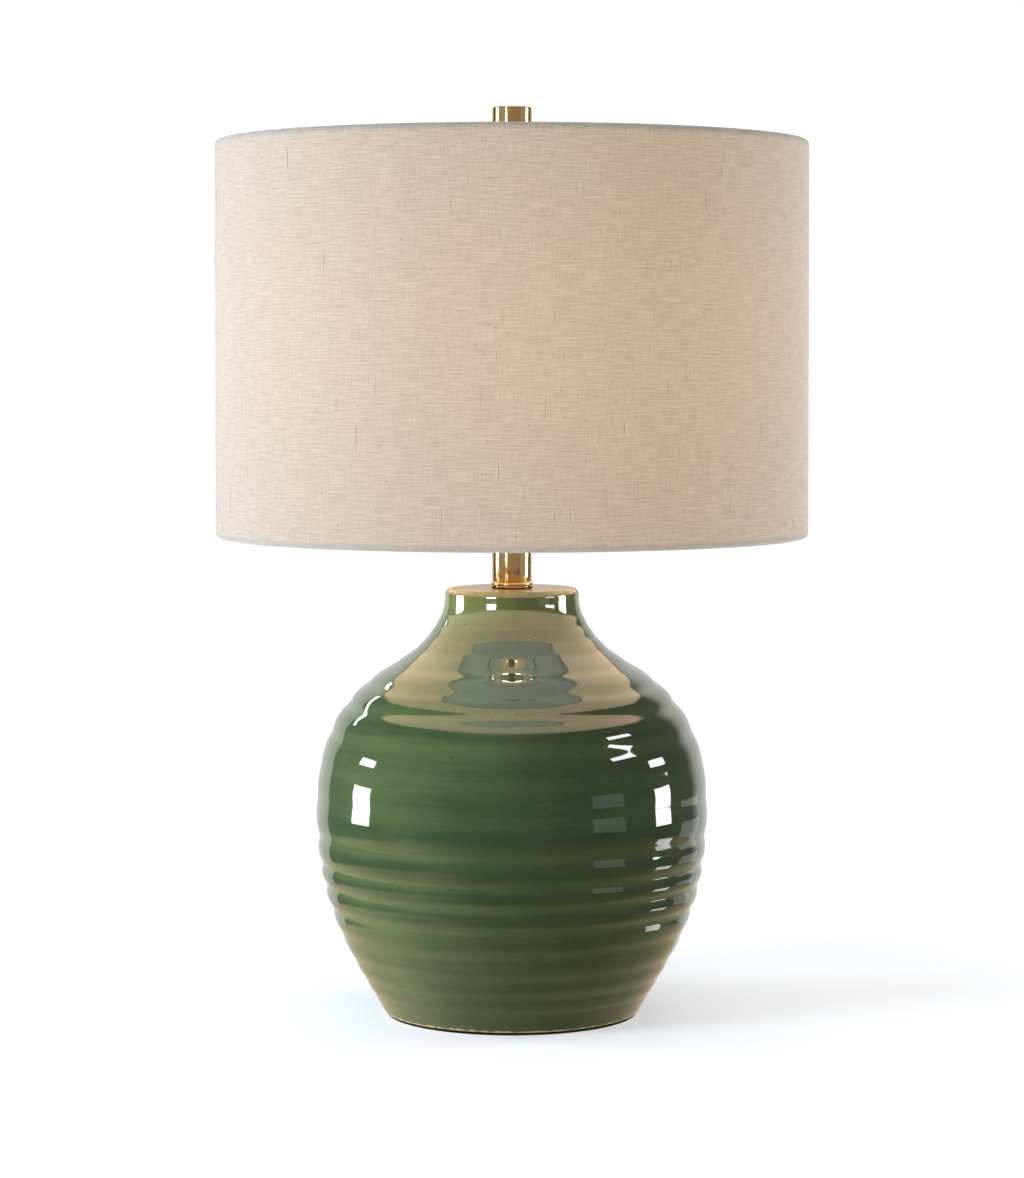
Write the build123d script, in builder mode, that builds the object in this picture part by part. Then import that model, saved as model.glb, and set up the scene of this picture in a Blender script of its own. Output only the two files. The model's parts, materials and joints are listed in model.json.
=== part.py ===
from build123d import *
import os

os.makedirs("parts", exist_ok=True)

# Table lamp in millimetres. +Z is up, the origin is the middle of the underside,
# the front faces -Y and the cord leaves at the back, +Y.
INCH = 25.4

# Ceramic body. Heights are taken from the foot, drops from the rim.
PAD_THICKNESS = 2.0
PAD_INSET = 2.0
FOOT_DIAMETER = 6.5 * INCH
FOOT_RING_WIDTH = 10.0
FOOT_ROUNDING = 1.0
FOOT_FLARE = 0.55
RECESS_DEPTH = 20.0
FLOOR_THICKNESS = 7.0
WALL_THICKNESS = 7.0
CEILING_THICKNESS = 8.0
BODY_HEIGHT = 273.0
FLANK_DIAMETER = 226.0
FLANK_HEIGHT = 58.0
BELLY_DIAMETER = 251.0
BELLY_DROP = 150.0
SHOULDER_DIAMETER = 237.6
SHOULDER_DROP = 97.0
SLOPE_DIAMETER = 176.0
SLOPE_DROP = 57.0
THROAT_DIAMETER = 119.0
THROAT_DROP = 37.0
COLLAR_DIAMETER = 96.0
COLLAR_DROP = 22.0
RIM_DIAMETER = 86.6
RIM_DROP = 7.0
RIM_ROUNDING = 3.2
# Throwing rings, from the foot up: distance along the wall from the ring below, and depth.
RINGS = (
    (13.6, 0.30), (12.3, 0.35), (14.0, 0.45), (18.7, 0.60), (17.1, 0.90), (15.7, 0.90),
    (13.6, 0.90), (17.7, 0.80), (24.9, 0.60), (21.1, 0.70), (22.2, 0.70), (21.8, 1.00),
    (17.4, 0.90), (21.8, 0.40), (17.0, 0.30), (11.3, 0.30), (9.2, 0.25), (8.2, 0.20),
)
LAST_RING_TO_RIM = 9.2

# Cord outlet in the back of the foot.
CORD_BORE_DIAMETER = 6.4
CORD_HEIGHT = 10.0
GROMMET_WALL = 1.2
GROMMET_CLEARANCE = 0.1
GROMMET_FLANGE_WIDTH = 1.7
GROMMET_FLANGE_THICKNESS = 1.8
GROMMET_LIP_WIDTH = 0.8
GROMMET_LIP_THICKNESS = 1.5

# Pipe and the clamp under the floor.
PIPE_DIAMETER = 9.7
PIPE_BORE_DIAMETER = 6.4
PIPE_CLEARANCE = 0.1
PIPE_HOLE_SLACK = 1.2
PIPE_TAIL = 3.0
BOTTOM_GASKET_DIAMETER = 44.0
BOTTOM_GASKET_THICKNESS = 2.0
BOTTOM_WASHER_DIAMETER = 40.0
BOTTOM_WASHER_THICKNESS = 1.8
LOCK_WASHER_DIAMETER = 18.0
LOCK_WASHER_THICKNESS = 0.8
LOCK_WASHER_TEETH = 10
LOCK_WASHER_TOOTH = 1.6
NUT_ACROSS_FLATS = 16.0
NUT_THICKNESS = 5.0

# Brass neck.
NECK_GASKET_DIAMETER = 26.0
NECK_GASKET_THICKNESS = 1.0
NECK_DIAMETER = 25.4
NECK_LENGTH = 46.0
NECK_WALL = 0.9
NECK_FLOOR = 1.2
NECK_BEAD_HEIGHT = 3.6
NECK_BEAD_PROUD = 0.9
NECK_CAP_THICKNESS = 3.0
NECK_CAP_SPIGOT = 4.0
NECK_CAP_ROUNDING = 0.8
SPIGOT_CLEARANCE = 0.1

# Harp: saddle, wire loop, ferrules and swivel stud.
HARP_HEIGHT = 9.0 * INCH
HARP_WIDTH = 4.5 * INCH
HARP_WIRE_DIAMETER = 4.0
HARP_FOOT_SPACING = 58.0
HARP_LEG_LENGTH = 34.0
HARP_FLARE_HEIGHT = 62.0
HARP_LEG_BEND = 30.0
HARP_SIDE_BEND = 70.0
HARP_TOP_BEND = 44.0
EYELET_DIAMETER = 16.0
EYELET_THICKNESS = 4.0
SADDLE_THICKNESS = 2.0
SADDLE_WIDTH = 14.0
SADDLE_ARM_HEIGHT = 24.0
SADDLE_BEND = 9.0
SADDLE_TIP_LENGTH = 9.0
SADDLE_TIP_ROOT = 6.0
FERRULE_DIAMETER = 7.2
FERRULE_LENGTH = 18.0
FERRULE_CLEARANCE = 0.1
STUD_SEAT_DIAMETER = 19.0
STUD_SEAT_THICKNESS = 2.0
STUD_POST_DIAMETER = 6.2
STUD_POST_REACH = 10.0
STUD_PIN_DIAMETER = 5.0
STUD_HEAD_DIAMETER = 9.0
STUD_HEAD_THICKNESS = 1.2
STUD_PIN_CLEARANCE = 0.06
STUD_HEAD_CLEARANCE = 0.2

# Socket.
SOCKET_HUB_DIAMETER = 15.0
SOCKET_HUB_HEIGHT = 7.0
SOCKET_CAP_DIAMETER = 35.0
SOCKET_CAP_HEIGHT = 25.0
SOCKET_CAP_DOME = 18.0
SOCKET_CAP_WALL = 0.9
SOCKET_SHELL_WALL = 0.6
SOCKET_SHELL_LENGTH = 45.0
SOCKET_SHELL_INSERT = 6.0
SOCKET_SHELL_LIP = 0.6
SOCKET_SHELL_LIP_HEIGHT = 1.8
SOCKET_CLEARANCE = 0.1
INSULATOR_THICKNESS = 0.8
INSULATOR_SETBACK = 2.0
SET_SCREW_DIAMETER = 3.5
SET_SCREW_PROUD = 1.6
SET_SCREW_LEVEL = 3.5
SWITCH_BODY_DIAMETER = 27.0
SWITCH_BODY_START = 15.0
SWITCH_BODY_HEIGHT = 22.0
SWITCH_FLAT_DEPTH = 1.6
TERMINAL_LEVEL = 8.0
TERMINAL_HEAD_DIAMETER = 6.0
TERMINAL_HEAD_THICKNESS = 1.4
TERMINAL_SHANK_DIAMETER = 3.0
TERMINAL_SHANK_LENGTH = 5.0
TERMINAL_SLOT_WIDTH = 0.8
TERMINAL_SLOT_DEPTH = 0.6
TERMINAL_CLEARANCE = 0.05
SCREW_SHELL_DIAMETER = 28.6
SCREW_SHELL_WALL = 0.5
SCREW_SHELL_HEIGHT = 24.0
SCREW_SHELL_HOLE_DIAMETER = 12.0
CONTACT_WIDTH = 5.0
CONTACT_LENGTH = 8.0
CONTACT_THICKNESS = 0.5
CONTACT_RISE = 2.0

# Turn switch.
SWITCH_LEVEL = 13.0
SWITCH_STEM_DIAMETER = 4.0
SWITCH_STEM_DEPTH = 9.0
SWITCH_STEM_CLEARANCE = 0.06
SWITCH_HOLE_SLACK = 2.0
KNOB_DIAMETER = 11.0
KNOB_LENGTH = 14.0
KNOB_GAP = 3.0
KNOB_FLUTES = 14
KNOB_FLUTE_DIAMETER = 1.5
KNOB_CROWN = 2.0
KNOB_GRIP = 9.0
KNOB_CLEARANCE = 0.02

# Bulb.
BULB_GAP = 0.1
BULB_CONTACT_DIAMETER = 9.0
BULB_CONTACT_THICKNESS = 1.2
BULB_INSULATOR_HEIGHT = 3.4
BULB_INSULATOR_TIP_DIAMETER = 12.0
BULB_INSULATOR_PLUG = 2.5
BULB_BASE_DIAMETER = 26.4
BULB_BASE_HEIGHT = 21.5
BULB_BASE_WALL = 0.6
BULB_FIT = 0.05
BULB_NECK_INSERT = 5.0
BULB_NECK_STRAIGHT = 1.0
BULB_GLOBE_DIAMETER = 60.0
BULB_GLOBE_RISE = 52.0
BULB_GLOBE_ANGLE = 38.0
BULB_GLASS = 0.8
BULB_MOUNT_DIAMETER = 9.0
BULB_MOUNT_TIP_DIAMETER = 6.0
BULB_MOUNT_DISC = 1.5
BULB_MOUNT_HEIGHT = 34.0
FILAMENT_WIRE_DIAMETER = 0.8
FILAMENT_FOOT_SPACING = 3.0
FILAMENT_WIDTH = 18.0
FILAMENT_RISE = 24.0

# Shade.
SHADE_DIAMETER = 15.0 * INCH
SHADE_HEIGHT = 10.0 * INCH
FABRIC_THICKNESS = 0.7
LINER_THICKNESS = 0.5
SHADE_RING_WIRE = 3.2
SHADE_RING_CLEARANCE = 0.3
HEM_WRAP = 215.0
HEM_NOTCH_CLEARANCE = 0.2
SPIDER_DROP = 6.6
SPIDER_HUB_DIAMETER = 26.0
SPIDER_HUB_THICKNESS = 3.0
SPIDER_HUB_HOLE = 11.0
SPIDER_ARM_DIAMETER = 2.8
SPIDER_ARM_ANGLES = (90.0, 210.0, 330.0)

# Finial.
FINIAL_DIAMETER = 25.4
FINIAL_HEIGHT = 25.6
FINIAL_EDGE = 0.8
FINIAL_HOLE_SLACK = 2.0
FINIAL_CLEARANCE = 0.1

# Levels of the stack, from the table up. With these sizes the lamp stands 23 in tall.
body_top = PAD_THICKNESS + BODY_HEIGHT
recess_top = PAD_THICKNESS + RECESS_DEPTH
floor_top = recess_top + FLOOR_THICKNESS
ceiling = body_top - CEILING_THICKNESS
neck_base = body_top + NECK_GASKET_THICKNESS
neck_top = neck_base + NECK_LENGTH
saddle_base = neck_top + NECK_CAP_THICKNESS
socket_base = saddle_base + SADDLE_THICKNESS
harp_top = saddle_base + HARP_HEIGHT
hub_base = harp_top + STUD_SEAT_THICKNESS
hub_top = hub_base + SPIDER_HUB_THICKNESS
finial_top = hub_top + FINIAL_HEIGHT
shade_top = hub_base + SPIDER_DROP
shade_base = shade_top - SHADE_HEIGHT
pipe_fit_diameter = PIPE_DIAMETER + 2 * PIPE_CLEARANCE


def ring(outer_diameter, inner_diameter, base, height):
    """Round ring or tube standing on a level."""
    with BuildPart() as piece:
        with BuildSketch(Plane.XY.offset(base)):
            Circle(outer_diameter / 2)
            Circle(inner_diameter / 2, mode=Mode.SUBTRACT)
        extrude(amount=height)
    return piece


# Smooth line of the wall, without its rings, as radius and height.
wall_ends = ((FOOT_FLARE, 1), (0, 1))
wall_line = Spline(
    (FOOT_DIAMETER / 2, PAD_THICKNESS),
    (FLANK_DIAMETER / 2, PAD_THICKNESS + FLANK_HEIGHT),
    (BELLY_DIAMETER / 2, body_top - BELLY_DROP),
    (SHOULDER_DIAMETER / 2, body_top - SHOULDER_DROP),
    (SLOPE_DIAMETER / 2, body_top - SLOPE_DROP),
    (THROAT_DIAMETER / 2, body_top - THROAT_DROP),
    (COLLAR_DIAMETER / 2, body_top - COLLAR_DROP),
    (RIM_DIAMETER / 2, body_top - RIM_DROP),
    tangents=wall_ends,
)


def wall_point(distance, outward):
    """Point that far along the wall line from the foot, moved outward square to it."""
    place = wall_line.position_at(distance, position_mode=PositionMode.LENGTH)
    along = wall_line.tangent_at(distance, position_mode=PositionMode.LENGTH)
    return (place.X + along.Y * outward, place.Y - along.X * outward)


# Each ring is a crest and the hollow above it. A longer wall spreads the same rings further.
pitches = [pitch for pitch, _ in RINGS]
ring_spread = wall_line.length / (sum(pitches) + LAST_RING_TO_RIM)
ringed_outline = [wall_point(0, 0)]
crest = 0
for (pitch, depth), gap_above in zip(RINGS, pitches[1:] + [LAST_RING_TO_RIM]):
    crest += pitch * ring_spread
    ringed_outline.append(wall_point(crest, depth / 2))
    ringed_outline.append(wall_point(crest + gap_above * ring_spread / 2, -depth / 2))
ringed_outline.append(wall_point(wall_line.length, 0))

cavity_steps = len(RINGS)
cavity_outline = []
for step in range(cavity_steps + 1):
    cavity_outline.append(wall_point(wall_line.length * step / cavity_steps, -WALL_THICKNESS))

# The cord hole leaves the foot level, so its flange sits on a flat spot in the sloping wall.
sleeve_diameter = CORD_BORE_DIAMETER + 2 * GROMMET_WALL
flange_diameter = sleeve_diameter + 2 * GROMMET_FLANGE_WIDTH
lip_diameter = sleeve_diameter + 2 * GROMMET_LIP_WIDTH
recess_radius = FOOT_DIAMETER / 2 - FOOT_RING_WIDTH
cord_level = PAD_THICKNESS + CORD_HEIGHT
flange_foot = Axis((0, cord_level - flange_diameter / 2, 0), (1, 0, 0))
cord_face = wall_line.find_intersection_points(flange_foot)[0].X - GROMMET_FLANGE_THICKNESS
cord_plane = Plane(origin=(0, cord_face, cord_level), x_dir=(1, 0, 0), z_dir=(0, 1, 0))
recess_face = (recess_radius**2 - (lip_diameter / 2) ** 2) ** 0.5

# Rubber pad under the foot
with BuildPart() as base_pad:
    with BuildSketch(Plane.XY):
        Circle(FOOT_DIAMETER / 2 - PAD_INSET)
    extrude(amount=PAD_THICKNESS)

# Ceramic body: ringed outside, smooth hollow inside, recess and cord hole in the foot
with BuildPart() as ceramic_body:
    with BuildSketch(Plane.XZ):
        with BuildLine():
            wall = Spline(*ringed_outline, tangents=wall_ends)
            Polyline(wall @ 1, (RIM_DIAMETER / 2, body_top), (0, body_top), (0, PAD_THICKNESS), wall @ 0)
        make_face()
    revolve(axis=Axis.Z)
    fillet(ceramic_body.edges().filter_by(GeomType.CIRCLE).group_by(Axis.Z)[-1], RIM_ROUNDING)
    fillet(ceramic_body.edges().filter_by(GeomType.CIRCLE).group_by(Axis.Z)[0], FOOT_ROUNDING)
    with BuildSketch(Plane.XZ):
        with BuildLine():
            inside = Spline(*cavity_outline, tangents=wall_ends)
            Polyline(inside @ 1, (0, (inside @ 1).Y), (0, (inside @ 0).Y), inside @ 0)
        make_face()
        with Locations((0, (floor_top + ceiling) / 2)):
            Rectangle(2 * BELLY_DIAMETER, ceiling - floor_top, mode=Mode.INTERSECT)
    revolve(axis=Axis.Z, mode=Mode.SUBTRACT)
    with BuildSketch(Plane.XY.offset(PAD_THICKNESS)):
        Circle(recess_radius)
    extrude(amount=RECESS_DEPTH, mode=Mode.SUBTRACT)
    with BuildSketch(Plane.XY.offset(PAD_THICKNESS)):
        Circle(PIPE_DIAMETER / 2 + PIPE_HOLE_SLACK)
    extrude(amount=BODY_HEIGHT, mode=Mode.SUBTRACT)
    with BuildSketch(cord_plane):
        Circle(sleeve_diameter / 2 + GROMMET_CLEARANCE)
    extrude(amount=-cord_face, mode=Mode.SUBTRACT)
    with BuildSketch(cord_plane):
        Circle(flange_diameter / 2 + GROMMET_CLEARANCE)
    extrude(amount=BELLY_DIAMETER / 2, mode=Mode.SUBTRACT)

# Cord grommet: flange outside, sleeve through the foot ring, lip inside
with BuildPart() as cord_grommet:
    with BuildSketch(cord_plane):
        Circle(flange_diameter / 2)
    extrude(amount=GROMMET_FLANGE_THICKNESS)
    with BuildSketch(cord_plane):
        Circle(sleeve_diameter / 2)
    extrude(amount=recess_face - cord_face)
    with BuildSketch(cord_plane.offset(recess_face - cord_face)):
        Circle(lip_diameter / 2)
    extrude(amount=-GROMMET_LIP_THICKNESS)
    grommet_length = cord_face + GROMMET_FLANGE_THICKNESS - recess_face + GROMMET_LIP_THICKNESS
    with BuildSketch(cord_plane.offset(GROMMET_FLANGE_THICKNESS)):
        Circle(CORD_BORE_DIAMETER / 2)
    extrude(amount=-grommet_length, mode=Mode.SUBTRACT)

# Clamp under the floor, from the floor down
washer_top = recess_top - BOTTOM_GASKET_THICKNESS
lock_top = washer_top - BOTTOM_WASHER_THICKNESS
nut_top = lock_top - LOCK_WASHER_THICKNESS
nut_base = nut_top - NUT_THICKNESS
pipe_base = nut_base - PIPE_TAIL
bottom_gasket = ring(BOTTOM_GASKET_DIAMETER, pipe_fit_diameter, washer_top, BOTTOM_GASKET_THICKNESS)
bottom_washer = ring(BOTTOM_WASHER_DIAMETER, pipe_fit_diameter, lock_top, BOTTOM_WASHER_THICKNESS)
with BuildPart() as bottom_lock_washer:
    with BuildSketch(Plane.XY.offset(nut_top)):
        Circle(LOCK_WASHER_DIAMETER / 2)
        with PolarLocations(LOCK_WASHER_DIAMETER / 2, LOCK_WASHER_TEETH):
            Rectangle(2 * LOCK_WASHER_TOOTH, LOCK_WASHER_TOOTH)
        Circle(pipe_fit_diameter / 2, mode=Mode.SUBTRACT)
    extrude(amount=LOCK_WASHER_THICKNESS)
with BuildPart() as bottom_nut:
    with BuildSketch(Plane.XY.offset(nut_base)):
        RegularPolygon(NUT_ACROSS_FLATS / 2, 6, major_radius=False)
        Circle(pipe_fit_diameter / 2, mode=Mode.SUBTRACT)
    extrude(amount=NUT_THICKNESS)
lamp_pipe = ring(PIPE_DIAMETER, PIPE_BORE_DIAMETER, pipe_base, socket_base + SOCKET_HUB_HEIGHT - pipe_base)

# Brass neck: gasket, tube with a bead at its foot, and cap with a spigot
neck_gasket = ring(NECK_GASKET_DIAMETER, pipe_fit_diameter, body_top, NECK_GASKET_THICKNESS)
neck_radius = NECK_DIAMETER / 2
with BuildPart() as neck_tube:
    with BuildSketch(Plane.XZ):
        with BuildLine():
            bead_top = neck_base + NECK_BEAD_HEIGHT
            bead_middle = (neck_radius + NECK_BEAD_PROUD, neck_base + NECK_BEAD_HEIGHT / 2)
            bead = ThreePointArc((neck_radius, neck_base), bead_middle, (neck_radius, bead_top))
            Polyline(
                bead @ 1,
                (neck_radius, neck_top),
                (neck_radius - NECK_WALL, neck_top),
                (neck_radius - NECK_WALL, neck_base + NECK_FLOOR),
                (pipe_fit_diameter / 2, neck_base + NECK_FLOOR),
                (pipe_fit_diameter / 2, neck_base),
                bead @ 0,
            )
        make_face()
    revolve(axis=Axis.Z)
with BuildPart() as neck_cap:
    with BuildSketch(Plane.XY.offset(neck_top)):
        Circle(neck_radius)
    extrude(amount=NECK_CAP_THICKNESS)
    fillet(neck_cap.edges().group_by(Axis.Z)[-1], NECK_CAP_ROUNDING)
    with BuildSketch(Plane.XY.offset(neck_top)):
        Circle(neck_radius - NECK_WALL - SPIGOT_CLEARANCE)
    extrude(amount=-NECK_CAP_SPIGOT)
    with BuildSketch(Plane.XY.offset(saddle_base)):
        Circle(pipe_fit_diameter / 2)
    extrude(amount=-NECK_CAP_THICKNESS - NECK_CAP_SPIGOT, mode=Mode.SUBTRACT)

# Harp saddle: bent strip with a round tip on each arm
foot_x = HARP_FOOT_SPACING / 2
arm_outside = foot_x + SADDLE_THICKNESS / 2
arm_inside = foot_x - SADDLE_THICKNESS / 2
arm_top = saddle_base + SADDLE_ARM_HEIGHT
harp_foot = arm_top + SADDLE_TIP_LENGTH
with BuildPart() as harp_saddle:
    with BuildSketch(Plane.XZ):
        with BuildLine():
            under = FilletPolyline(
                (-arm_outside, arm_top),
                (-arm_outside, saddle_base),
                (arm_outside, saddle_base),
                (arm_outside, arm_top),
                radius=SADDLE_BEND + SADDLE_THICKNESS,
            )
            over = FilletPolyline(
                (-arm_inside, arm_top),
                (-arm_inside, socket_base),
                (arm_inside, socket_base),
                (arm_inside, arm_top),
                radius=SADDLE_BEND,
            )
            Line(under @ 0, over @ 0)
            Line(under @ 1, over @ 1)
        make_face()
    extrude(amount=SADDLE_WIDTH / 2, both=True)
    with BuildSketch(Plane.XY.offset(arm_top - SADDLE_TIP_ROOT)):
        with Locations((-foot_x, 0), (foot_x, 0)):
            Circle(HARP_WIRE_DIAMETER / 2)
    extrude(amount=SADDLE_TIP_ROOT + SADDLE_TIP_LENGTH)
    with BuildSketch(Plane.XY.offset(saddle_base)):
        Circle(pipe_fit_diameter / 2)
    extrude(amount=SADDLE_THICKNESS, mode=Mode.SUBTRACT)

# Harp wire: one loop with an eyelet for the swivel stud at its top
side_x = (HARP_WIDTH - HARP_WIRE_DIAMETER) / 2
leg_top = harp_foot + HARP_LEG_LENGTH
side_base = leg_top + HARP_FLARE_HEIGHT
wire_top = harp_top - HARP_WIRE_DIAMETER / 2
with BuildPart() as harp_wire:
    with BuildLine(Plane.XZ) as loop:
        FilletPolyline(
            (-foot_x, harp_foot),
            (-foot_x, leg_top),
            (-side_x, side_base),
            (-side_x, wire_top),
            (side_x, wire_top),
            (side_x, side_base),
            (foot_x, leg_top),
            (foot_x, harp_foot),
            radius=(
                HARP_LEG_BEND,
                HARP_SIDE_BEND,
                HARP_TOP_BEND,
                HARP_TOP_BEND,
                HARP_SIDE_BEND,
                HARP_LEG_BEND,
            ),
        )
    with BuildSketch(Plane(origin=loop.line @ 0, z_dir=loop.line % 0)):
        Circle(HARP_WIRE_DIAMETER / 2)
    sweep()
    with BuildSketch(Plane.XY.offset(harp_top)):
        Circle(EYELET_DIAMETER / 2)
    extrude(amount=-EYELET_THICKNESS)
    with BuildSketch(Plane.XY.offset(harp_top)):
        Circle(STUD_PIN_DIAMETER / 2 + STUD_PIN_CLEARANCE)
    extrude(amount=-EYELET_THICKNESS, mode=Mode.SUBTRACT)


def ferrule(middle_x):
    """Sleeve over one joint of harp and saddle, resting on the saddle's arm."""
    with BuildPart() as piece:
        with BuildSketch(Plane.XY.offset(arm_top)):
            with Locations((middle_x, 0)):
                Circle(FERRULE_DIAMETER / 2)
                Circle(HARP_WIRE_DIAMETER / 2 + FERRULE_CLEARANCE, mode=Mode.SUBTRACT)
        extrude(amount=FERRULE_LENGTH)
    return piece


ferrule_left = ferrule(-foot_x)
ferrule_right = ferrule(foot_x)

# Swivel stud: post above its seat, pin and riveted head below
pin_length = EYELET_THICKNESS + STUD_HEAD_CLEARANCE + STUD_HEAD_THICKNESS
with BuildPart() as harp_stud:
    with BuildSketch(Plane.XY.offset(harp_top)):
        Circle(STUD_SEAT_DIAMETER / 2)
    extrude(amount=STUD_SEAT_THICKNESS)
    with BuildSketch(Plane.XY.offset(hub_base)):
        Circle(STUD_POST_DIAMETER / 2)
    extrude(amount=SPIDER_HUB_THICKNESS + STUD_POST_REACH)
    with BuildSketch(Plane.XY.offset(harp_top)):
        Circle(STUD_PIN_DIAMETER / 2)
    extrude(amount=-pin_length)
    with BuildSketch(Plane.XY.offset(harp_top - pin_length)):
        Circle(STUD_HEAD_DIAMETER / 2)
    extrude(amount=STUD_HEAD_THICKNESS)

# Socket cap: hub on the pipe, opening into a thin dome
cap_radius = SOCKET_CAP_DIAMETER / 2
hub_radius = SOCKET_HUB_DIAMETER / 2
dome_top = socket_base + SOCKET_CAP_DOME
cap_top = socket_base + SOCKET_CAP_HEIGHT
cap_inside = cap_radius - SOCKET_CAP_WALL
hub_floor = socket_base + SOCKET_HUB_HEIGHT
set_screw_level = socket_base + SET_SCREW_LEVEL
set_screw_plane = Plane(origin=(0, 0, set_screw_level), x_dir=(1, 0, 0), z_dir=(0, 1, 0))
with BuildPart() as socket_cap:
    with BuildSketch(Plane.XZ):
        with BuildLine():
            dome_foot = (hub_radius, hub_floor - SOCKET_CAP_WALL)
            dome = TangentArc((cap_radius, dome_top), dome_foot, tangent=(0, -1))
            hollow = TangentArc((cap_inside, dome_top), (hub_radius, hub_floor), tangent=(0, -1))
            Polyline(dome @ 0, (cap_radius, cap_top), (cap_inside, cap_top), hollow @ 0)
            Polyline(
                dome @ 1,
                (hub_radius, socket_base),
                (pipe_fit_diameter / 2, socket_base),
                (pipe_fit_diameter / 2, hub_floor),
                hollow @ 1,
            )
        make_face()
    revolve(axis=Axis.Z)
    with BuildSketch(set_screw_plane):
        Circle(SET_SCREW_DIAMETER / 2)
    extrude(amount=SOCKET_HUB_DIAMETER, mode=Mode.SUBTRACT)
with BuildPart() as cap_set_screw:
    with BuildSketch(set_screw_plane.offset(PIPE_DIAMETER / 2 + PIPE_CLEARANCE)):
        Circle(SET_SCREW_DIAMETER / 2)
    extrude(amount=hub_radius + SET_SCREW_PROUD - PIPE_DIAMETER / 2 - PIPE_CLEARANCE)

# Turn switch axis, out of the front of the socket
switch_base = socket_base + SWITCH_BODY_START
switch_top = switch_base + SWITCH_BODY_HEIGHT
switch_radius = SWITCH_BODY_DIAMETER / 2
switch_plane = Plane(origin=(0, 0, switch_base + SWITCH_LEVEL), x_dir=(1, 0, 0), z_dir=(0, -1, 0))
switch_hole = SWITCH_STEM_DIAMETER / 2 + SWITCH_HOLE_SLACK

# Socket shell and its paper insulator, each with a hole for the switch stem
shell_base = cap_top - SOCKET_SHELL_INSERT
shell_top = shell_base + SOCKET_SHELL_LENGTH
shell_radius = cap_inside - SOCKET_CLEARANCE
shell_inside = shell_radius - SOCKET_SHELL_WALL
with BuildPart() as socket_shell:
    with BuildSketch(Plane.XY.offset(shell_base)):
        Circle(shell_radius)
    extrude(amount=SOCKET_SHELL_LENGTH)
    with BuildSketch(Plane.XY.offset(shell_top)):
        Circle(shell_radius + SOCKET_SHELL_LIP)
    extrude(amount=-SOCKET_SHELL_LIP_HEIGHT)
    with BuildSketch(Plane.XY.offset(shell_base)):
        Circle(shell_inside)
    extrude(amount=SOCKET_SHELL_LENGTH, mode=Mode.SUBTRACT)
    with BuildSketch(switch_plane):
        Circle(switch_hole)
    extrude(amount=SOCKET_CAP_DIAMETER, mode=Mode.SUBTRACT)
paper_radius = shell_inside - SOCKET_CLEARANCE
with BuildPart() as socket_insulator:
    with BuildSketch(Plane.XY.offset(shell_base)):
        Circle(paper_radius)
        Circle(paper_radius - INSULATOR_THICKNESS, mode=Mode.SUBTRACT)
    extrude(amount=SOCKET_SHELL_LENGTH - INSULATOR_SETBACK)
    with BuildSketch(switch_plane):
        Circle(switch_hole)
    extrude(amount=SOCKET_CAP_DIAMETER, mode=Mode.SUBTRACT)

# Switch body with a flat and a screw on each side
flat_x = switch_radius - SWITCH_FLAT_DEPTH
terminal_level = switch_base + TERMINAL_LEVEL
terminal_planes = []
for side in (-1, 1):
    terminal_planes.append(Plane(origin=(side * flat_x, 0, terminal_level), z_dir=(side, 0, 0)))
with BuildPart() as switch_body:
    with BuildSketch(Plane.XY.offset(switch_base)):
        Circle(switch_radius)
        Rectangle(2 * flat_x, SWITCH_BODY_DIAMETER, mode=Mode.INTERSECT)
    extrude(amount=SWITCH_BODY_HEIGHT)
    with BuildSketch(*terminal_planes):
        Circle(TERMINAL_SHANK_DIAMETER / 2 + TERMINAL_CLEARANCE)
    extrude(amount=-TERMINAL_SHANK_LENGTH, mode=Mode.SUBTRACT)
    with BuildSketch(switch_plane.offset(switch_radius)):
        Circle(SWITCH_STEM_DIAMETER / 2 + SWITCH_STEM_CLEARANCE)
    extrude(amount=-SWITCH_STEM_DEPTH, mode=Mode.SUBTRACT)
with BuildPart() as terminal_screws:
    with BuildSketch(*terminal_planes):
        Circle(TERMINAL_HEAD_DIAMETER / 2)
    extrude(amount=TERMINAL_HEAD_THICKNESS)
    with BuildSketch(*terminal_planes):
        Circle(TERMINAL_SHANK_DIAMETER / 2)
    extrude(amount=-TERMINAL_SHANK_LENGTH)
    with BuildSketch(*[plane.offset(TERMINAL_HEAD_THICKNESS) for plane in terminal_planes]):
        Rectangle(TERMINAL_SLOT_WIDTH, TERMINAL_HEAD_DIAMETER)
    extrude(amount=-TERMINAL_SLOT_DEPTH, mode=Mode.SUBTRACT)

# Screw shell for the bulb, and the springy contact in its floor
with BuildPart() as screw_shell:
    with BuildSketch(Plane.XY.offset(switch_top)):
        Circle(SCREW_SHELL_DIAMETER / 2)
        Circle(SCREW_SHELL_HOLE_DIAMETER / 2, mode=Mode.SUBTRACT)
    extrude(amount=SCREW_SHELL_HEIGHT)
    with BuildSketch(Plane.XY.offset(switch_top + SCREW_SHELL_WALL)):
        Circle(SCREW_SHELL_DIAMETER / 2 - SCREW_SHELL_WALL)
    extrude(amount=SCREW_SHELL_HEIGHT, mode=Mode.SUBTRACT)
contact_top = switch_top + CONTACT_THICKNESS + CONTACT_RISE
with BuildPart() as centre_contact:
    with BuildSketch(Plane.XZ):
        with BuildLine():
            Polyline(
                (-CONTACT_LENGTH / 2, switch_top),
                (-CONTACT_LENGTH / 4, switch_top),
                (CONTACT_LENGTH / 8, switch_top + CONTACT_RISE),
                (CONTACT_LENGTH / 2, switch_top + CONTACT_RISE),
                (CONTACT_LENGTH / 2, contact_top),
                (CONTACT_LENGTH / 8, contact_top),
                (-CONTACT_LENGTH / 4, switch_top + CONTACT_THICKNESS),
                (-CONTACT_LENGTH / 2, switch_top + CONTACT_THICKNESS),
                close=True,
            )
        make_face()
    extrude(amount=CONTACT_WIDTH / 2, both=True)

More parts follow.
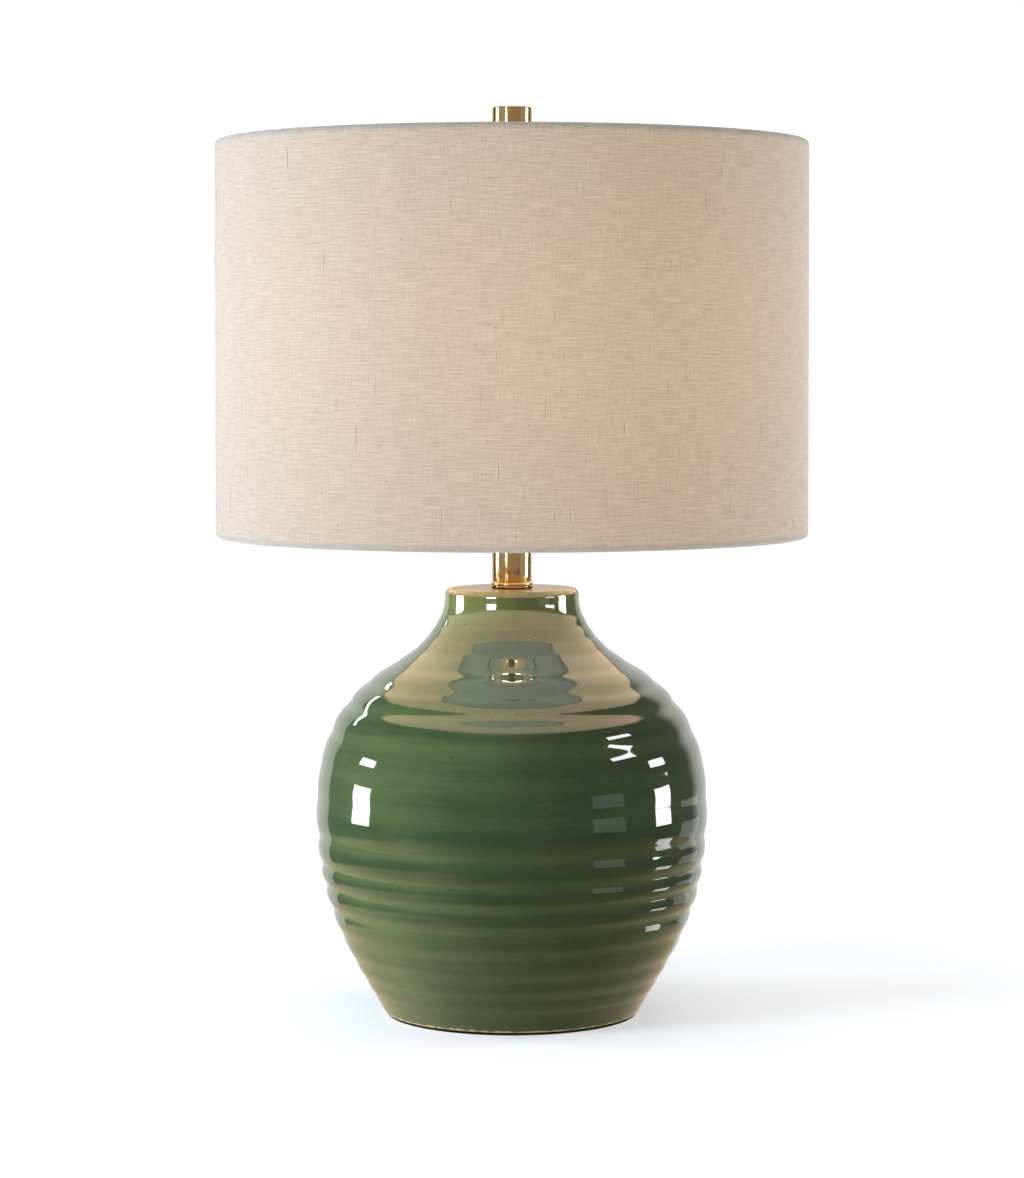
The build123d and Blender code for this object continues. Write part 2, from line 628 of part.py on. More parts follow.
# Switch stem and fluted knob
knob_base = shell_radius + KNOB_GAP
stem_start = switch_radius - SWITCH_STEM_DEPTH
with BuildPart() as switch_stem:
    with BuildSketch(switch_plane.offset(stem_start)):
        Circle(SWITCH_STEM_DIAMETER / 2)
    extrude(amount=knob_base + KNOB_GRIP - stem_start)
with BuildPart() as switch_knob:
    with BuildSketch(switch_plane.offset(knob_base)):
        Circle(KNOB_DIAMETER / 2)
    extrude(amount=KNOB_LENGTH)
    chamfer(switch_knob.edges().group_by(Axis.Y)[0], KNOB_CROWN, KNOB_CROWN / 2)
    with BuildSketch(switch_plane.offset(knob_base)):
        with PolarLocations(KNOB_DIAMETER / 2, KNOB_FLUTES):
            Circle(KNOB_FLUTE_DIAMETER / 2)
    extrude(amount=KNOB_LENGTH, mode=Mode.SUBTRACT)
    with BuildSketch(switch_plane.offset(knob_base)):
        Circle(SWITCH_STEM_DIAMETER / 2 + KNOB_CLEARANCE)
    extrude(amount=KNOB_GRIP, mode=Mode.SUBTRACT)

# Bulb: contact, insulator, screw base, frosted globe, glass mount and filament
bulb_base_level = contact_top + BULB_GAP + BULB_CONTACT_THICKNESS + BULB_INSULATOR_HEIGHT
bulb_base_top = bulb_base_level + BULB_BASE_HEIGHT
base_inside = BULB_BASE_DIAMETER / 2 - BULB_BASE_WALL
plug_radius = base_inside - BULB_FIT
with BuildPart() as bulb_contact:
    with BuildSketch(Plane.XY.offset(contact_top + BULB_GAP)):
        Circle(BULB_CONTACT_DIAMETER / 2)
    extrude(amount=BULB_CONTACT_THICKNESS)
with BuildPart() as bulb_insulator:
    with BuildSketch(Plane.XZ):
        with BuildLine():
            Polyline(
                (0, bulb_base_level - BULB_INSULATOR_HEIGHT),
                (BULB_INSULATOR_TIP_DIAMETER / 2, bulb_base_level - BULB_INSULATOR_HEIGHT),
                (plug_radius, bulb_base_level),
                (plug_radius, bulb_base_level + BULB_INSULATOR_PLUG),
                (0, bulb_base_level + BULB_INSULATOR_PLUG),
                close=True,
            )
        make_face()
    revolve(axis=Axis.Z)
bulb_base = ring(BULB_BASE_DIAMETER, 2 * base_inside, bulb_base_level, BULB_BASE_HEIGHT)
neck_foot = bulb_base_top - BULB_NECK_INSERT
globe_level = bulb_base_top + BULB_GLOBE_RISE
with BuildPart() as bulb_globe:
    for inset, mode in ((0, Mode.ADD), (BULB_GLASS, Mode.SUBTRACT)):
        with BuildSketch(Plane.XZ):
            with BuildLine():
                globe_radius = BULB_GLOBE_DIAMETER / 2 - inset
                globe = CenterArc((0, globe_level), globe_radius, -BULB_GLOBE_ANGLE, 90 + BULB_GLOBE_ANGLE)
                neck_end = (plug_radius - inset, bulb_base_top + BULB_NECK_STRAIGHT)
                flare = Spline(neck_end, globe @ 0, tangents=((0, 1), globe % 0))
                Polyline(globe @ 1, (0, neck_foot), (plug_radius - inset, neck_foot), flare @ 0)
            make_face()
        revolve(axis=Axis.Z, mode=mode)
mount_radius = plug_radius - BULB_GLASS - BULB_FIT
mount_top = neck_foot + BULB_MOUNT_HEIGHT
with BuildPart() as bulb_mount:
    with BuildSketch(Plane.XZ):
        with BuildLine():
            Polyline(
                (0, neck_foot),
                (mount_radius, neck_foot),
                (mount_radius, neck_foot + BULB_MOUNT_DISC),
                (BULB_MOUNT_DIAMETER / 2, neck_foot + BULB_MOUNT_DISC),
                (BULB_MOUNT_TIP_DIAMETER / 2, mount_top),
                (0, mount_top),
                close=True,
            )
        make_face()
    revolve(axis=Axis.Z)
with BuildPart() as bulb_filament:
    with BuildLine(Plane.XZ) as leads:
        Polyline(
            (-FILAMENT_FOOT_SPACING / 2, mount_top),
            (-FILAMENT_WIDTH / 2, mount_top + FILAMENT_RISE),
            (FILAMENT_WIDTH / 2, mount_top + FILAMENT_RISE),
            (FILAMENT_FOOT_SPACING / 2, mount_top),
        )
    with BuildSketch(Plane(origin=leads.line @ 0, z_dir=leads.line % 0)):
        Circle(FILAMENT_WIRE_DIAMETER / 2)
    sweep(transition=Transition.RIGHT)
    add(bulb_mount.part, mode=Mode.SUBTRACT)

# Shade wall: linen over a stiff liner, between two wire rings
shade_radius = SHADE_DIAMETER / 2
liner_radius = shade_radius - FABRIC_THICKNESS
liner_inside = liner_radius - LINER_THICKNESS
ring_wire_radius = SHADE_RING_WIRE / 2
ring_radius = liner_inside - SHADE_RING_CLEARANCE - ring_wire_radius
hem_radius = shade_radius - ring_radius
top_ring_level = shade_top - hem_radius
bottom_ring_level = shade_base + hem_radius
wall_height = top_ring_level - bottom_ring_level
shade_fabric = ring(SHADE_DIAMETER, 2 * liner_radius, bottom_ring_level, wall_height)
shade_liner = ring(2 * liner_radius, 2 * liner_inside, bottom_ring_level, wall_height)


def wire_ring(level):
    """Round wire ring inside one edge of the shade."""
    with BuildPart() as piece:
        with Locations((0, 0, level)):
            Torus(ring_radius, ring_wire_radius)
    return piece


shade_top_ring = wire_ring(top_ring_level)
shade_bottom_ring = wire_ring(bottom_ring_level)

# Spider: hub with three arms that end on the top ring
spider_hub = ring(SPIDER_HUB_DIAMETER, SPIDER_HUB_HOLE, hub_base, SPIDER_HUB_THICKNESS)
arm_start = ((SPIDER_HUB_DIAMETER / 2) ** 2 - (SPIDER_ARM_DIAMETER / 2) ** 2) ** 0.5
arm_start_level = hub_base + SPIDER_HUB_THICKNESS / 2
arm_foot = Vector(arm_start, 0, arm_start_level)
arm_run = Vector(ring_radius, 0, top_ring_level) - arm_foot
arm_planes = []
for angle in SPIDER_ARM_ANGLES:
    arm_planes.append(Plane(origin=arm_foot.rotate(Axis.Z, angle), z_dir=arm_run.rotate(Axis.Z, angle)))
with BuildPart() as spider_arms:
    with BuildSketch(*arm_planes):
        Circle(SPIDER_ARM_DIAMETER / 2)
    extrude(amount=arm_run.length)
    add(spider_hub.part, mode=Mode.SUBTRACT)
    add(shade_top_ring.part, mode=Mode.SUBTRACT)


def hem(level, upward):
    """Fabric rolled over a wire ring, from the outside of the wall to the inside."""
    inner = ring_wire_radius + SHADE_RING_CLEARANCE
    with BuildPart() as piece:
        with BuildSketch(Plane.XZ):
            with BuildLine():
                outside = CenterArc((ring_radius, level), hem_radius, 0, upward * HEM_WRAP)
                inside = CenterArc((ring_radius, level), inner, 0, upward * HEM_WRAP)
                Line(outside @ 0, inside @ 0)
                Line(outside @ 1, inside @ 1)
            make_face()
        revolve(axis=Axis.Z)
    return piece


shade_bottom_hem = hem(bottom_ring_level, -1)
plain_top_hem = hem(top_ring_level, 1)
with BuildPart() as shade_top_hem:
    add(plain_top_hem.part)
    with BuildSketch(*arm_planes):
        Circle(SPIDER_ARM_DIAMETER / 2 + HEM_NOTCH_CLEARANCE)
    extrude(amount=arm_run.length, mode=Mode.SUBTRACT)

# Finial: plain cylinder with a blind hole for the stud
with BuildPart() as finial:
    with BuildSketch(Plane.XY.offset(hub_top)):
        Circle(FINIAL_DIAMETER / 2)
    extrude(amount=FINIAL_HEIGHT)
    fillet(finial.edges().group_by(Axis.Z)[-1], FINIAL_EDGE)
    with BuildSketch(Plane.XY.offset(hub_top)):
        Circle(STUD_POST_DIAMETER / 2 + FINIAL_CLEARANCE)
    extrude(amount=STUD_POST_REACH + FINIAL_HOLE_SLACK, mode=Mode.SUBTRACT)

pieces = {
    "base_pad": base_pad,
    "ceramic_body": ceramic_body,
    "cord_grommet": cord_grommet,
    "bottom_gasket": bottom_gasket,
    "bottom_washer": bottom_washer,
    "bottom_lock_washer": bottom_lock_washer,
    "bottom_nut": bottom_nut,
    "lamp_pipe": lamp_pipe,
    "neck_gasket": neck_gasket,
    "neck_tube": neck_tube,
    "neck_cap": neck_cap,
    "harp_saddle": harp_saddle,
    "harp_wire": harp_wire,
    "ferrule_left": ferrule_left,
    "ferrule_right": ferrule_right,
    "harp_stud": harp_stud,
    "socket_cap": socket_cap,
    "cap_set_screw": cap_set_screw,
    "socket_shell": socket_shell,
    "socket_insulator": socket_insulator,
    "switch_body": switch_body,
    "terminal_screws": terminal_screws,
    "screw_shell": screw_shell,
    "centre_contact": centre_contact,
    "switch_stem": switch_stem,
    "switch_knob": switch_knob,
    "bulb_contact": bulb_contact,
    "bulb_insulator": bulb_insulator,
    "bulb_base": bulb_base,
    "bulb_globe": bulb_globe,
    "bulb_mount": bulb_mount,
    "bulb_filament": bulb_filament,
    "shade_fabric": shade_fabric,
    "shade_liner": shade_liner,
    "shade_top_ring": shade_top_ring,
    "shade_bottom_ring": shade_bottom_ring,
    "shade_top_hem": shade_top_hem,
    "shade_bottom_hem": shade_bottom_hem,
    "spider_hub": spider_hub,
    "spider_arms": spider_arms,
    "finial": finial,
}
for name, piece in pieces.items():
    piece.part.label = name
    export_step(piece.part, f"parts/{name}.step")

print("height", round(finial_top, 2), "shade", round(shade_base, 2), round(shade_top, 2))
cord_mouth = cord_face + GROMMET_FLANGE_THICKNESS
print("cord outlet y", round(cord_mouth, 2), "z", cord_level, "length", round(grommet_length, 2))
print("switch z", switch_base + SWITCH_LEVEL, "harp top", harp_top, "globe", globe_level)
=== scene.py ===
# %% [markdown]
# # Table lamp with a thrown, glazed body and a linen drum shade
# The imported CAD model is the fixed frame. Every node is already in its place, in metres, with the
# origin in the middle of the underside and the front facing -Y. A piece that needs more detail than
# the CAD has is made again here from the same sizes, in millimetres, and replaces its node.

# %% load the frame
import json
import math

import bmesh
import bpy
import numpy as np
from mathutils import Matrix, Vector


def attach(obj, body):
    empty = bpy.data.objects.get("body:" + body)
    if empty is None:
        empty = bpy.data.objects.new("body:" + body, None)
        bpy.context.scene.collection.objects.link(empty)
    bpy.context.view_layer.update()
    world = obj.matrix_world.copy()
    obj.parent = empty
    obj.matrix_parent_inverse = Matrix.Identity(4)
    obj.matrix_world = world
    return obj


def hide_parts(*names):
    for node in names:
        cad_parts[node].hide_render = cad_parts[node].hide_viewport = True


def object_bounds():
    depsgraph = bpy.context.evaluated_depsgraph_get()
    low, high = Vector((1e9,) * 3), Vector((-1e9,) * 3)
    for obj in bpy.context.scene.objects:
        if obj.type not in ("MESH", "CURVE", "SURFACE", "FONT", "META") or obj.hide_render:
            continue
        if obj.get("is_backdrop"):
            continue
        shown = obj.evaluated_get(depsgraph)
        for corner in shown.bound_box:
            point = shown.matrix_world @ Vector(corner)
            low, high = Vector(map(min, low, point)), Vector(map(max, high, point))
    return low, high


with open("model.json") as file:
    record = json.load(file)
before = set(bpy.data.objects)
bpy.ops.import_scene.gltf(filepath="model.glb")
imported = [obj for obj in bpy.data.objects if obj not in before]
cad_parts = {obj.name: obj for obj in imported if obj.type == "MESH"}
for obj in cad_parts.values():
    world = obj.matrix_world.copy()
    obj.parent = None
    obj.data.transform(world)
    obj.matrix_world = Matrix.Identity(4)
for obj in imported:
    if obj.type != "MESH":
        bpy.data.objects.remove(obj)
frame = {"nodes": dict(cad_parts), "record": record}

cad_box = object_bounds()
scene = bpy.context.scene
print(len(frame["nodes"]), "CAD nodes, box", [[round(v, 4) for v in corner] for corner in cad_box])

# %% [markdown]
# The lamp is seen from a little above the brass neck, from about 2.2 m, through a long lens that
# leaves its upright edges upright. Half of the downward look is a tilt and half is lens shift.

# %% camera
VIEW_DISTANCE, EYE_LEVEL, TILT_DOWN = 2.2, 0.424, 1.95
camera = bpy.data.objects.new("camera", bpy.data.cameras.new("camera"))
scene.collection.objects.link(camera)
camera.location = (0, -VIEW_DISTANCE, EYE_LEVEL)
camera.rotation_euler = (math.radians(90 - TILT_DOWN), 0, 0)
camera.data.lens = 104.3
camera.data.sensor_width = 36
camera.data.shift_y = -0.0985
scene.camera = camera
print("camera", tuple(round(v, 3) for v in camera.location), camera.data.lens, "mm")

# %% [markdown]
# Materials and Geometry Nodes are both trees of nodes, so one small function can build them all: it
# adds a node, sets its options, and fills each input with a value or a link. A node that is given as
# an input stands for its first output. Inputs that share a name go by number: a Map Range reads from
# 1 to 2 and gives 3 to 4, and a Mix has its share at 0, plain numbers at 2 and 3, and colours at 6 and
# 7, with the mixed colour at output 2. Colours are written as sRGB hex, as a colour picker shows them,
# and Blender wants linear values.

# %% node helper and colours
def linear(hex_colour):
    """sRGB hex to the linear colour that a node takes."""
    parts = [int(hex_colour[i : i + 2], 16) / 255 for i in (1, 3, 5)]
    return [*(c / 12.92 if c <= 0.04045 else ((c + 0.055) / 1.055) ** 2.4 for c in parts), 1.0]


def add(tree, kind, inputs=None, **settings):
    """Adds a node with its settings, and fills or links its inputs by name or number."""
    new = tree.nodes.new(kind)
    for name, value in settings.items():
        setattr(new, name, value)
    for key, value in (inputs or {}).items():
        if isinstance(value, bpy.types.Node):
            value = value.outputs[0]
        if isinstance(value, bpy.types.NodeSocket):
            tree.links.new(value, new.inputs[key])
        else:
            new.inputs[key].default_value = value
    return new


def new_material(name):
    """Empty node material and its tree."""
    made = bpy.data.materials.new(name)
    made.use_nodes = True
    made.node_tree.nodes.clear()
    return made, made.node_tree


print("olive glaze", [round(v, 3) for v in linear("#3c4f2e")])

# %% [markdown]
# The studio. To the camera everything round the lamp is white, a touch over full white so that no grey
# is left. The glaze is a dark mirror, so what it sees matters more: a dim room in front, a white
# ceiling, a pale sweep behind with a softer edge on the right, and a tan table, brighter behind and on
# the left. One colour is mixed over the next by direction.

# %% world
WHITE, FULL_WHITE = (1, 1, 1, 1), 1.05
SWEEP_EDGE = 0.73
world = bpy.data.worlds.new("studio")
scene.world = world
world.use_nodes = True
room = world.node_tree
room.nodes.clear()
way = add(room, "ShaderNodeSeparateXYZ", {0: add(room, "ShaderNodeTexCoord").outputs["Generated"]}).outputs
side = add(room, "ShaderNodeMath", {0: way["X"], 1: -0.7, 2: way["Y"]}, operation="MULTIPLY_ADD")
side = add(room, "ShaderNodeMapRange", {"Value": side, 1: -0.7, 2: 0.8})
table = add(room, "ShaderNodeMix", {0: side, 6: linear("#6e5f45"), 7: linear("#cdbd9c")}, data_type="RGBA")
soft = add(room, "ShaderNodeMapRange", {"Value": way["X"], 1: -0.25, 2: 0.25, 3: 0.015, 4: 0.09})
begins = add(room, "ShaderNodeMath", {0: SWEEP_EDGE, 1: soft}, operation="SUBTRACT")
ends = add(room, "ShaderNodeMath", {0: SWEEP_EDGE, 1: soft})
around = linear("#5c5c5a")
for axis, low, high, colour in (
    ("Y", begins, ends, linear("#d2d4ce")),  # sweep
    ("Z", 0.78, 0.92, linear("#ecece8")),  # ceiling
    ("Z", -0.25, -0.33, table.outputs[2]),
):
    part = add(
        room, "ShaderNodeMapRange", {"Value": way[axis], 1: low, 2: high}, interpolation_type="SMOOTHSTEP"
    )
    around = add(room, "ShaderNodeMix", {0: part, 6: around, 7: colour}, data_type="RGBA").outputs[2]
lit = add(room, "ShaderNodeBackground", {"Color": around, "Strength": 1.0})
white = add(room, "ShaderNodeBackground", {"Color": WHITE, "Strength": FULL_WHITE})
seen = add(room, "ShaderNodeLightPath").outputs["Is Camera Ray"]
shown = add(room, "ShaderNodeMixShader", {0: seen, 1: lit, 2: white})
add(room, "ShaderNodeOutputWorld", {"Surface": shown})
scene.view_settings.view_transform = "Standard"
print("world", world.name)

# %% [markdown]
# The floor is white paper that glows a little, so only a soft shadow is left beside the lamp, and it
# fades to plain white further out. Stronger lights could wash the shadow out too, but they would
# bleach the lamp as well.

# %% floor
FADE_BEGINS, FADE_ENDS = 0.28, 0.56
paper, tree = new_material("white_backdrop_paper")
spot = add(tree, "ShaderNodeTexCoord").outputs["Object"]
reach = add(tree, "ShaderNodeVectorMath", {0: spot}, operation="LENGTH").outputs["Value"]
far = add(
    tree,
    "ShaderNodeMapRange",
    {"Value": reach, 1: FADE_BEGINS, 2: FADE_ENDS},
    interpolation_type="SMOOTHSTEP",
)
matt = add(tree, "ShaderNodeBsdfDiffuse", {"Color": linear("#e9ecf2")})
faint = add(tree, "ShaderNodeEmission", {"Color": WHITE, "Strength": 0.42})
near = add(tree, "ShaderNodeAddShader", {0: matt, 1: faint})
glow = add(tree, "ShaderNodeEmission", {"Color": WHITE, "Strength": FULL_WHITE})
blend = add(tree, "ShaderNodeMixShader", {0: far, 1: near, 2: glow})
add(tree, "ShaderNodeOutputMaterial", {"Surface": blend})

floor_mesh = bpy.data.meshes.new("floor")
floor_mesh.from_pydata([(-6, -3, 0), (6, -3, 0), (6, 9, 0), (-6, 9, 0)], [], [(0, 1, 2, 3)])
floor_mesh.materials.append(paper)
floor = bpy.data.objects.new("floor", floor_mesh)
scene.collection.objects.link(floor)
floor.visible_glossy = False
floor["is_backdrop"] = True
print("floor", tuple(floor.dimensions))

# %% [markdown]
# The broad lights. In a product studio large soft boxes stand round the set, and one function makes
# each of them: a rectangle that is turned to its aim. Four reach every piece, and a fifth brightens
# the glaze alone from the left. All five are out of the mirrors' sight, because the glaze and the
# brass have lights of their own to mirror.


# %% broad lights
def softbox(name, place, aim, size, power, colour="#ffffff", reached=None):
    """Rectangular light at a place, turned to its aim. It reaches all pieces, unseen, or some, mirrored."""
    light = bpy.data.lights.new(name, "AREA")
    light.shape = "RECTANGLE"
    light.size, light.size_y = size
    light.energy = power
    light.color = linear(colour)[:3]
    box = bpy.data.objects.new(name, light)
    scene.collection.objects.link(box)
    box.location = place
    box.rotation_euler = (Vector(aim) - Vector(place)).to_track_quat("-Z", "Y").to_euler()
    box.visible_camera = False
    box.visible_glossy = reached is not None
    if reached:
        box.light_linking.receiver_collection = reached
    return box


brass_only = bpy.data.collections.new("brass_only")
body_only = bpy.data.collections.new("body_only")
softbox("key", (-1.9, -1.3, 1.2), (0, 0, 0.3), (0.9, 0.9), 32, "#e2f0ff")
softbox("fill", (0.5, -2.4, 1.1), (0, 0, 0.3), (1.6, 1.6), 14, "#fff3e8")
softbox("left_wash", (-1.27, 0.16, 0.42), (0, 0, 0.42), (0.40, 0.80), 10.5, "#dcebff")
softbox("right_wash", (1.7, 0.5, 0.7), (0, 0, 0.4), (0.6, 0.6), 9.5, "#f0f8ff")
body_key = softbox("body_key", (-2.15, -0.38, 0.55), (0, 0, 0.14), (0.8, 0.8), 105, reached=body_only)
body_key.visible_glossy = False

# %% [markdown]
# Lights that the glaze mirrors as white patches. Every throwing ring mirrors a far box again, but a
# small one close beside the belly is out of sight for the other rings, so each patch is such a box.
# Three far ones give the dim glints low on the right, a slanted strip behind gives the streak on the
# left shoulder, and four small windows under the shade light the collar.

# %% lights for the glaze
COOL_WHITE = "#fbfcff"
for name, place, size, power in (
    ("right_box_below", (1.179, 0.231, -0.31), (0.28, 0.14), 0.3),
    ("right_low", (0.983, 0.688, -0.11), (0.50, 0.24), 0.14),
    ("grey_window", (1.08, -0.73, 0.20), (0.45, 0.29), 0.13),
):
    softbox(name, place, (0, 0, place[2]), size, power, COOL_WHITE, body_only).visible_diffuse = False
for x, y, level, aim_x, aim_y, wide, tall, power in (
    (-0.278, -0.051, 0.1470, 0.0, -0.021, 0.063, 0.0590, 0.095),
    (-0.278, -0.051, 0.2178, 0.0, -0.021, 0.057, 0.0295, 0.043),
    (0.278, -0.051, 0.1485, 0.0, -0.021, 0.058, 0.0600, 0.089),
    (0.278, -0.048, 0.2188, 0.0, -0.018, 0.057, 0.0275, 0.040),
    (0.269, -0.134, 0.3025, -0.009, -0.105, 0.090, 0.0350, 0.081),
):
    box = softbox("side_box", (x, y, level), (aim_x, aim_y, level), (wide, tall), power, COOL_WHITE, body_only)
    box.visible_diffuse = False
slanted = softbox("left_streak", (-0.84, 0.84, 0.73), (0, 0, 0.2), (0.39, 0.06), 0.6, reached=body_only)
slanted.rotation_euler.rotate_axis("Z", math.radians(-45))
slanted.visible_diffuse = False
for x, y, level, aim_x, aim_y, wide, tall, power in (
    (-0.083, -0.138, 0.259, -0.014, -0.043, 0.038, 0.014, 0.02),
    (-0.083, -0.138, 0.291, -0.014, -0.043, 0.038, 0.018, 0.02),
    (-0.181, 0.001, 0.275, -0.034, -0.028, 0.046, 0.050, 0.09),
    (0.180, -0.013, 0.275, 0.032, -0.030, 0.040, 0.050, 0.08),
):
    aim = (aim_x, aim_y, level)
    window = softbox("collar_window", (x, y, level), aim, (wide, tall), power, reached=body_only)
    window.data.spread = math.radians(60)
    window.visible_diffuse = False

# %% [markdown]
# Lights that the brass mirrors. A turned tube squeezes the whole room into upright streaks, so it gets
# a wide panel in front, one at each side, a bright strip front left and two panels for its edges.

# %% lights for the brass
for name, place, size, power, colour in (
    ("brass_front", (0, -2.6, 0.6), (5.0, 2.4), 12, "#ffeedd"),
    ("brass_left", (-2.36, -1.1, 0.6), (1.8, 2.4), 5.6, "#f4f6ff"),
    ("brass_right", (2.36, -1.1, 0.6), (1.8, 2.4), 5.6, "#f4f6ff"),
    ("brass_strip", (-0.84, -1.24, 0.45), (0.12, 0.9), 8, "#f0f4ff"),
    ("brass_left_edge", (-1.19, 0.15, 0.42), (0.40, 0.80), 9, "#f4f8ff"),
    ("brass_right_edge", (1.19, 0.15, 0.34), (0.36, 0.98), 9, "#f4f8ff"),
):
    softbox(name, place, (0, 0, place[2]), size, power, colour, brass_only)

# %% [markdown]
# Stoneware glaze. The real body is a tan stoneware under a thick green glass that pools in the
# hollows of the throwing rings and thins on their crests. The height of each ring is an attribute of
# the mesh, so the colour follows the rings exactly. Clouds of thicker and thinner glaze are about
# 45 mm across, the runs down the wall 6 mm, and the lines that fingers left round it 3 mm.

# %% glaze, thick and thin
CLOUD, RUN, FINGER_LINE = 0.045, 0.006, 0.003
glaze, tree = new_material("green_stoneware_glaze")
place = add(tree, "ShaderNodeTexCoord").outputs["Object"]
height = add(tree, "ShaderNodeSeparateXYZ", {0: place}).outputs["Z"]
lift = add(tree, "ShaderNodeAttribute", attribute_name="lift").outputs["Fac"]
crest = add(tree, "ShaderNodeMapRange", {"Value": lift, 1: -0.0005, 2: 0.0005})
cloud = add(tree, "ShaderNodeTexNoise", {"Vector": place, "Scale": 1 / CLOUD, "Detail": 4.0})
runs = add(tree, "ShaderNodeMapping", {"Vector": place, "Scale": (1, 1, 0.18)})
runs = add(tree, "ShaderNodeTexNoise", {"Vector": runs, "Scale": 1 / RUN, "Detail": 3.0})
fingers = add(tree, "ShaderNodeMapping", {"Vector": place, "Scale": (0.06, 0.06, 1)})
fingers = add(tree, "ShaderNodeTexNoise", {"Vector": fingers, "Scale": 1 / FINGER_LINE, "Detail": 3.0})
thin = add(tree, "ShaderNodeMath", {0: crest, 1: 0.55}, operation="MULTIPLY")
thin = add(tree, "ShaderNodeMath", {0: cloud, 1: 0.9, 2: thin}, operation="MULTIPLY_ADD")
thin = add(tree, "ShaderNodeMath", {0: fingers, 1: 0.75, 2: thin}, operation="MULTIPLY_ADD")
thin = add(tree, "ShaderNodeMapRange", {"Value": thin, 1: 0.66, 2: 1.66})
green = add(tree, "ShaderNodeMix", {0: thin, 6: linear("#25361f"), 7: linear("#425030")}, data_type="RGBA")
print("material", glaze.name)

# %% [markdown]
# Where the glaze ends. A few dark iron flecks lie in it, in cells of 16 mm. Towards the rim the glaze is
# tinted olive, a painted reflection of the warm shade above it. The rim itself, wiped before the firing,
# is a dry tan, partly that bare clay and partly a painted reflection of the shade. Above the pad the glaze
# stops at a line of bare clay. The runs leave these borders uneven. All of it goes by height, with no mesh
# of its own.

# %% flecks, rim and foot
FLECK_CELL, RAGGED = 0.016, 0.004
fleck = add(tree, "ShaderNodeTexVoronoi", {"Vector": place, "Scale": 1 / FLECK_CELL}).outputs["Distance"]
fleck = add(tree, "ShaderNodeMapRange", {"Value": fleck, 1: 0.045, 2: 0.02})
colour = {0: fleck, 6: green.outputs[2], 7: linear("#1d2a1a")}
green = add(tree, "ShaderNodeMix", colour, data_type="RGBA").outputs[2]
border = add(tree, "ShaderNodeMath", {0: runs, 1: RAGGED, 2: height}, operation="MULTIPLY_ADD")
# Painted reflection: olive below the rim, and tan on the rim that is partly its bare clay.
for low, high, share, tan in ((0.250, 0.272, 0.5, "#666d3c"), (0.2742, 0.2772, 1.0, "#8a7040")):
    levels = {"Value": border, 1: low, 2: high, 4: share}
    rim_break_and_reflection = add(tree, "ShaderNodeMapRange", levels, interpolation_type="SMOOTHSTEP")
    green = add(tree, "ShaderNodeMix", {0: rim_break_and_reflection, 6: green, 7: linear(tan)}, data_type="RGBA").outputs[2]
foot = add(tree, "ShaderNodeMapRange", {"Value": border, 1: 0.0054, 2: 0.0044}, interpolation_type="SMOOTHSTEP")
clay = add(tree, "ShaderNodeMix", {0: foot, 6: green, 7: linear("#b99d6a")}, data_type="RGBA").outputs[2]
print("glaze", len(tree.nodes), "nodes so far")

# %% [markdown]
# The gloss. A clear coat over a glossy base gives the deep double reflection of a thick glaze. The coat
# is weak on the dry rim, and the clay at the foot is dull. A faint bump, 12 mm wide, is the orange peel
# of a melted surface.

# %% gloss of the glaze
GLAZE_IOR, PEEL = 1.6, 0.012
gloss = add(tree, "ShaderNodeMapRange", {"Value": cloud, 3: 0.03, 4: 0.07})
gloss = add(tree, "ShaderNodeMix", {0: foot, 2: gloss, 3: 0.6})
bare = add(tree, "ShaderNodeMapRange", {"Value": height, 1: 0.2736, 2: 0.2748}, interpolation_type="SMOOTHSTEP")
gloss = add(tree, "ShaderNodeMix", {0: bare, 2: gloss, 3: 0.28})
coat = add(tree, "ShaderNodeMapRange", {"Value": bare, 3: 1.0, 4: 0.3})
peel = add(tree, "ShaderNodeTexNoise", {"Vector": place, "Scale": 1 / PEEL, "Detail": 1.0})
skin = add(tree, "ShaderNodeBump", {"Height": peel, "Distance": 0.00006, "Strength": 1.0})
shader = add(
    tree,
    "ShaderNodeBsdfPrincipled",
    {
        "Base Color": clay, "Roughness": gloss, "IOR": GLAZE_IOR, "Normal": skin,
        "Coat Weight": coat, "Coat Roughness": 0.03, "Coat IOR": GLAZE_IOR, "Coat Normal": skin,
    },
)
add(tree, "ShaderNodeOutputMaterial", {"Surface": shader})
print("glaze", len(tree.nodes), "nodes")

# %% [markdown]
# The wall of the body is one smooth line from the foot over the belly to the rim. A cubic spline with
# its slope set at both ends goes through the measured points, as the CAD's does. Solving it with numpy
# gives evenly spaced points to turn round the axis.

# %% wall line
WALL_POINTS = np.array(
    [(82.55, 2), (113, 60), (125.5, 125), (118.8, 178), (88, 218), (59.5, 238), (48, 253), (43.3, 268)], float
)
WALL_ENDS = np.array([(0.55, 1), (0, 1)], float)
WALL_ROWS = 306


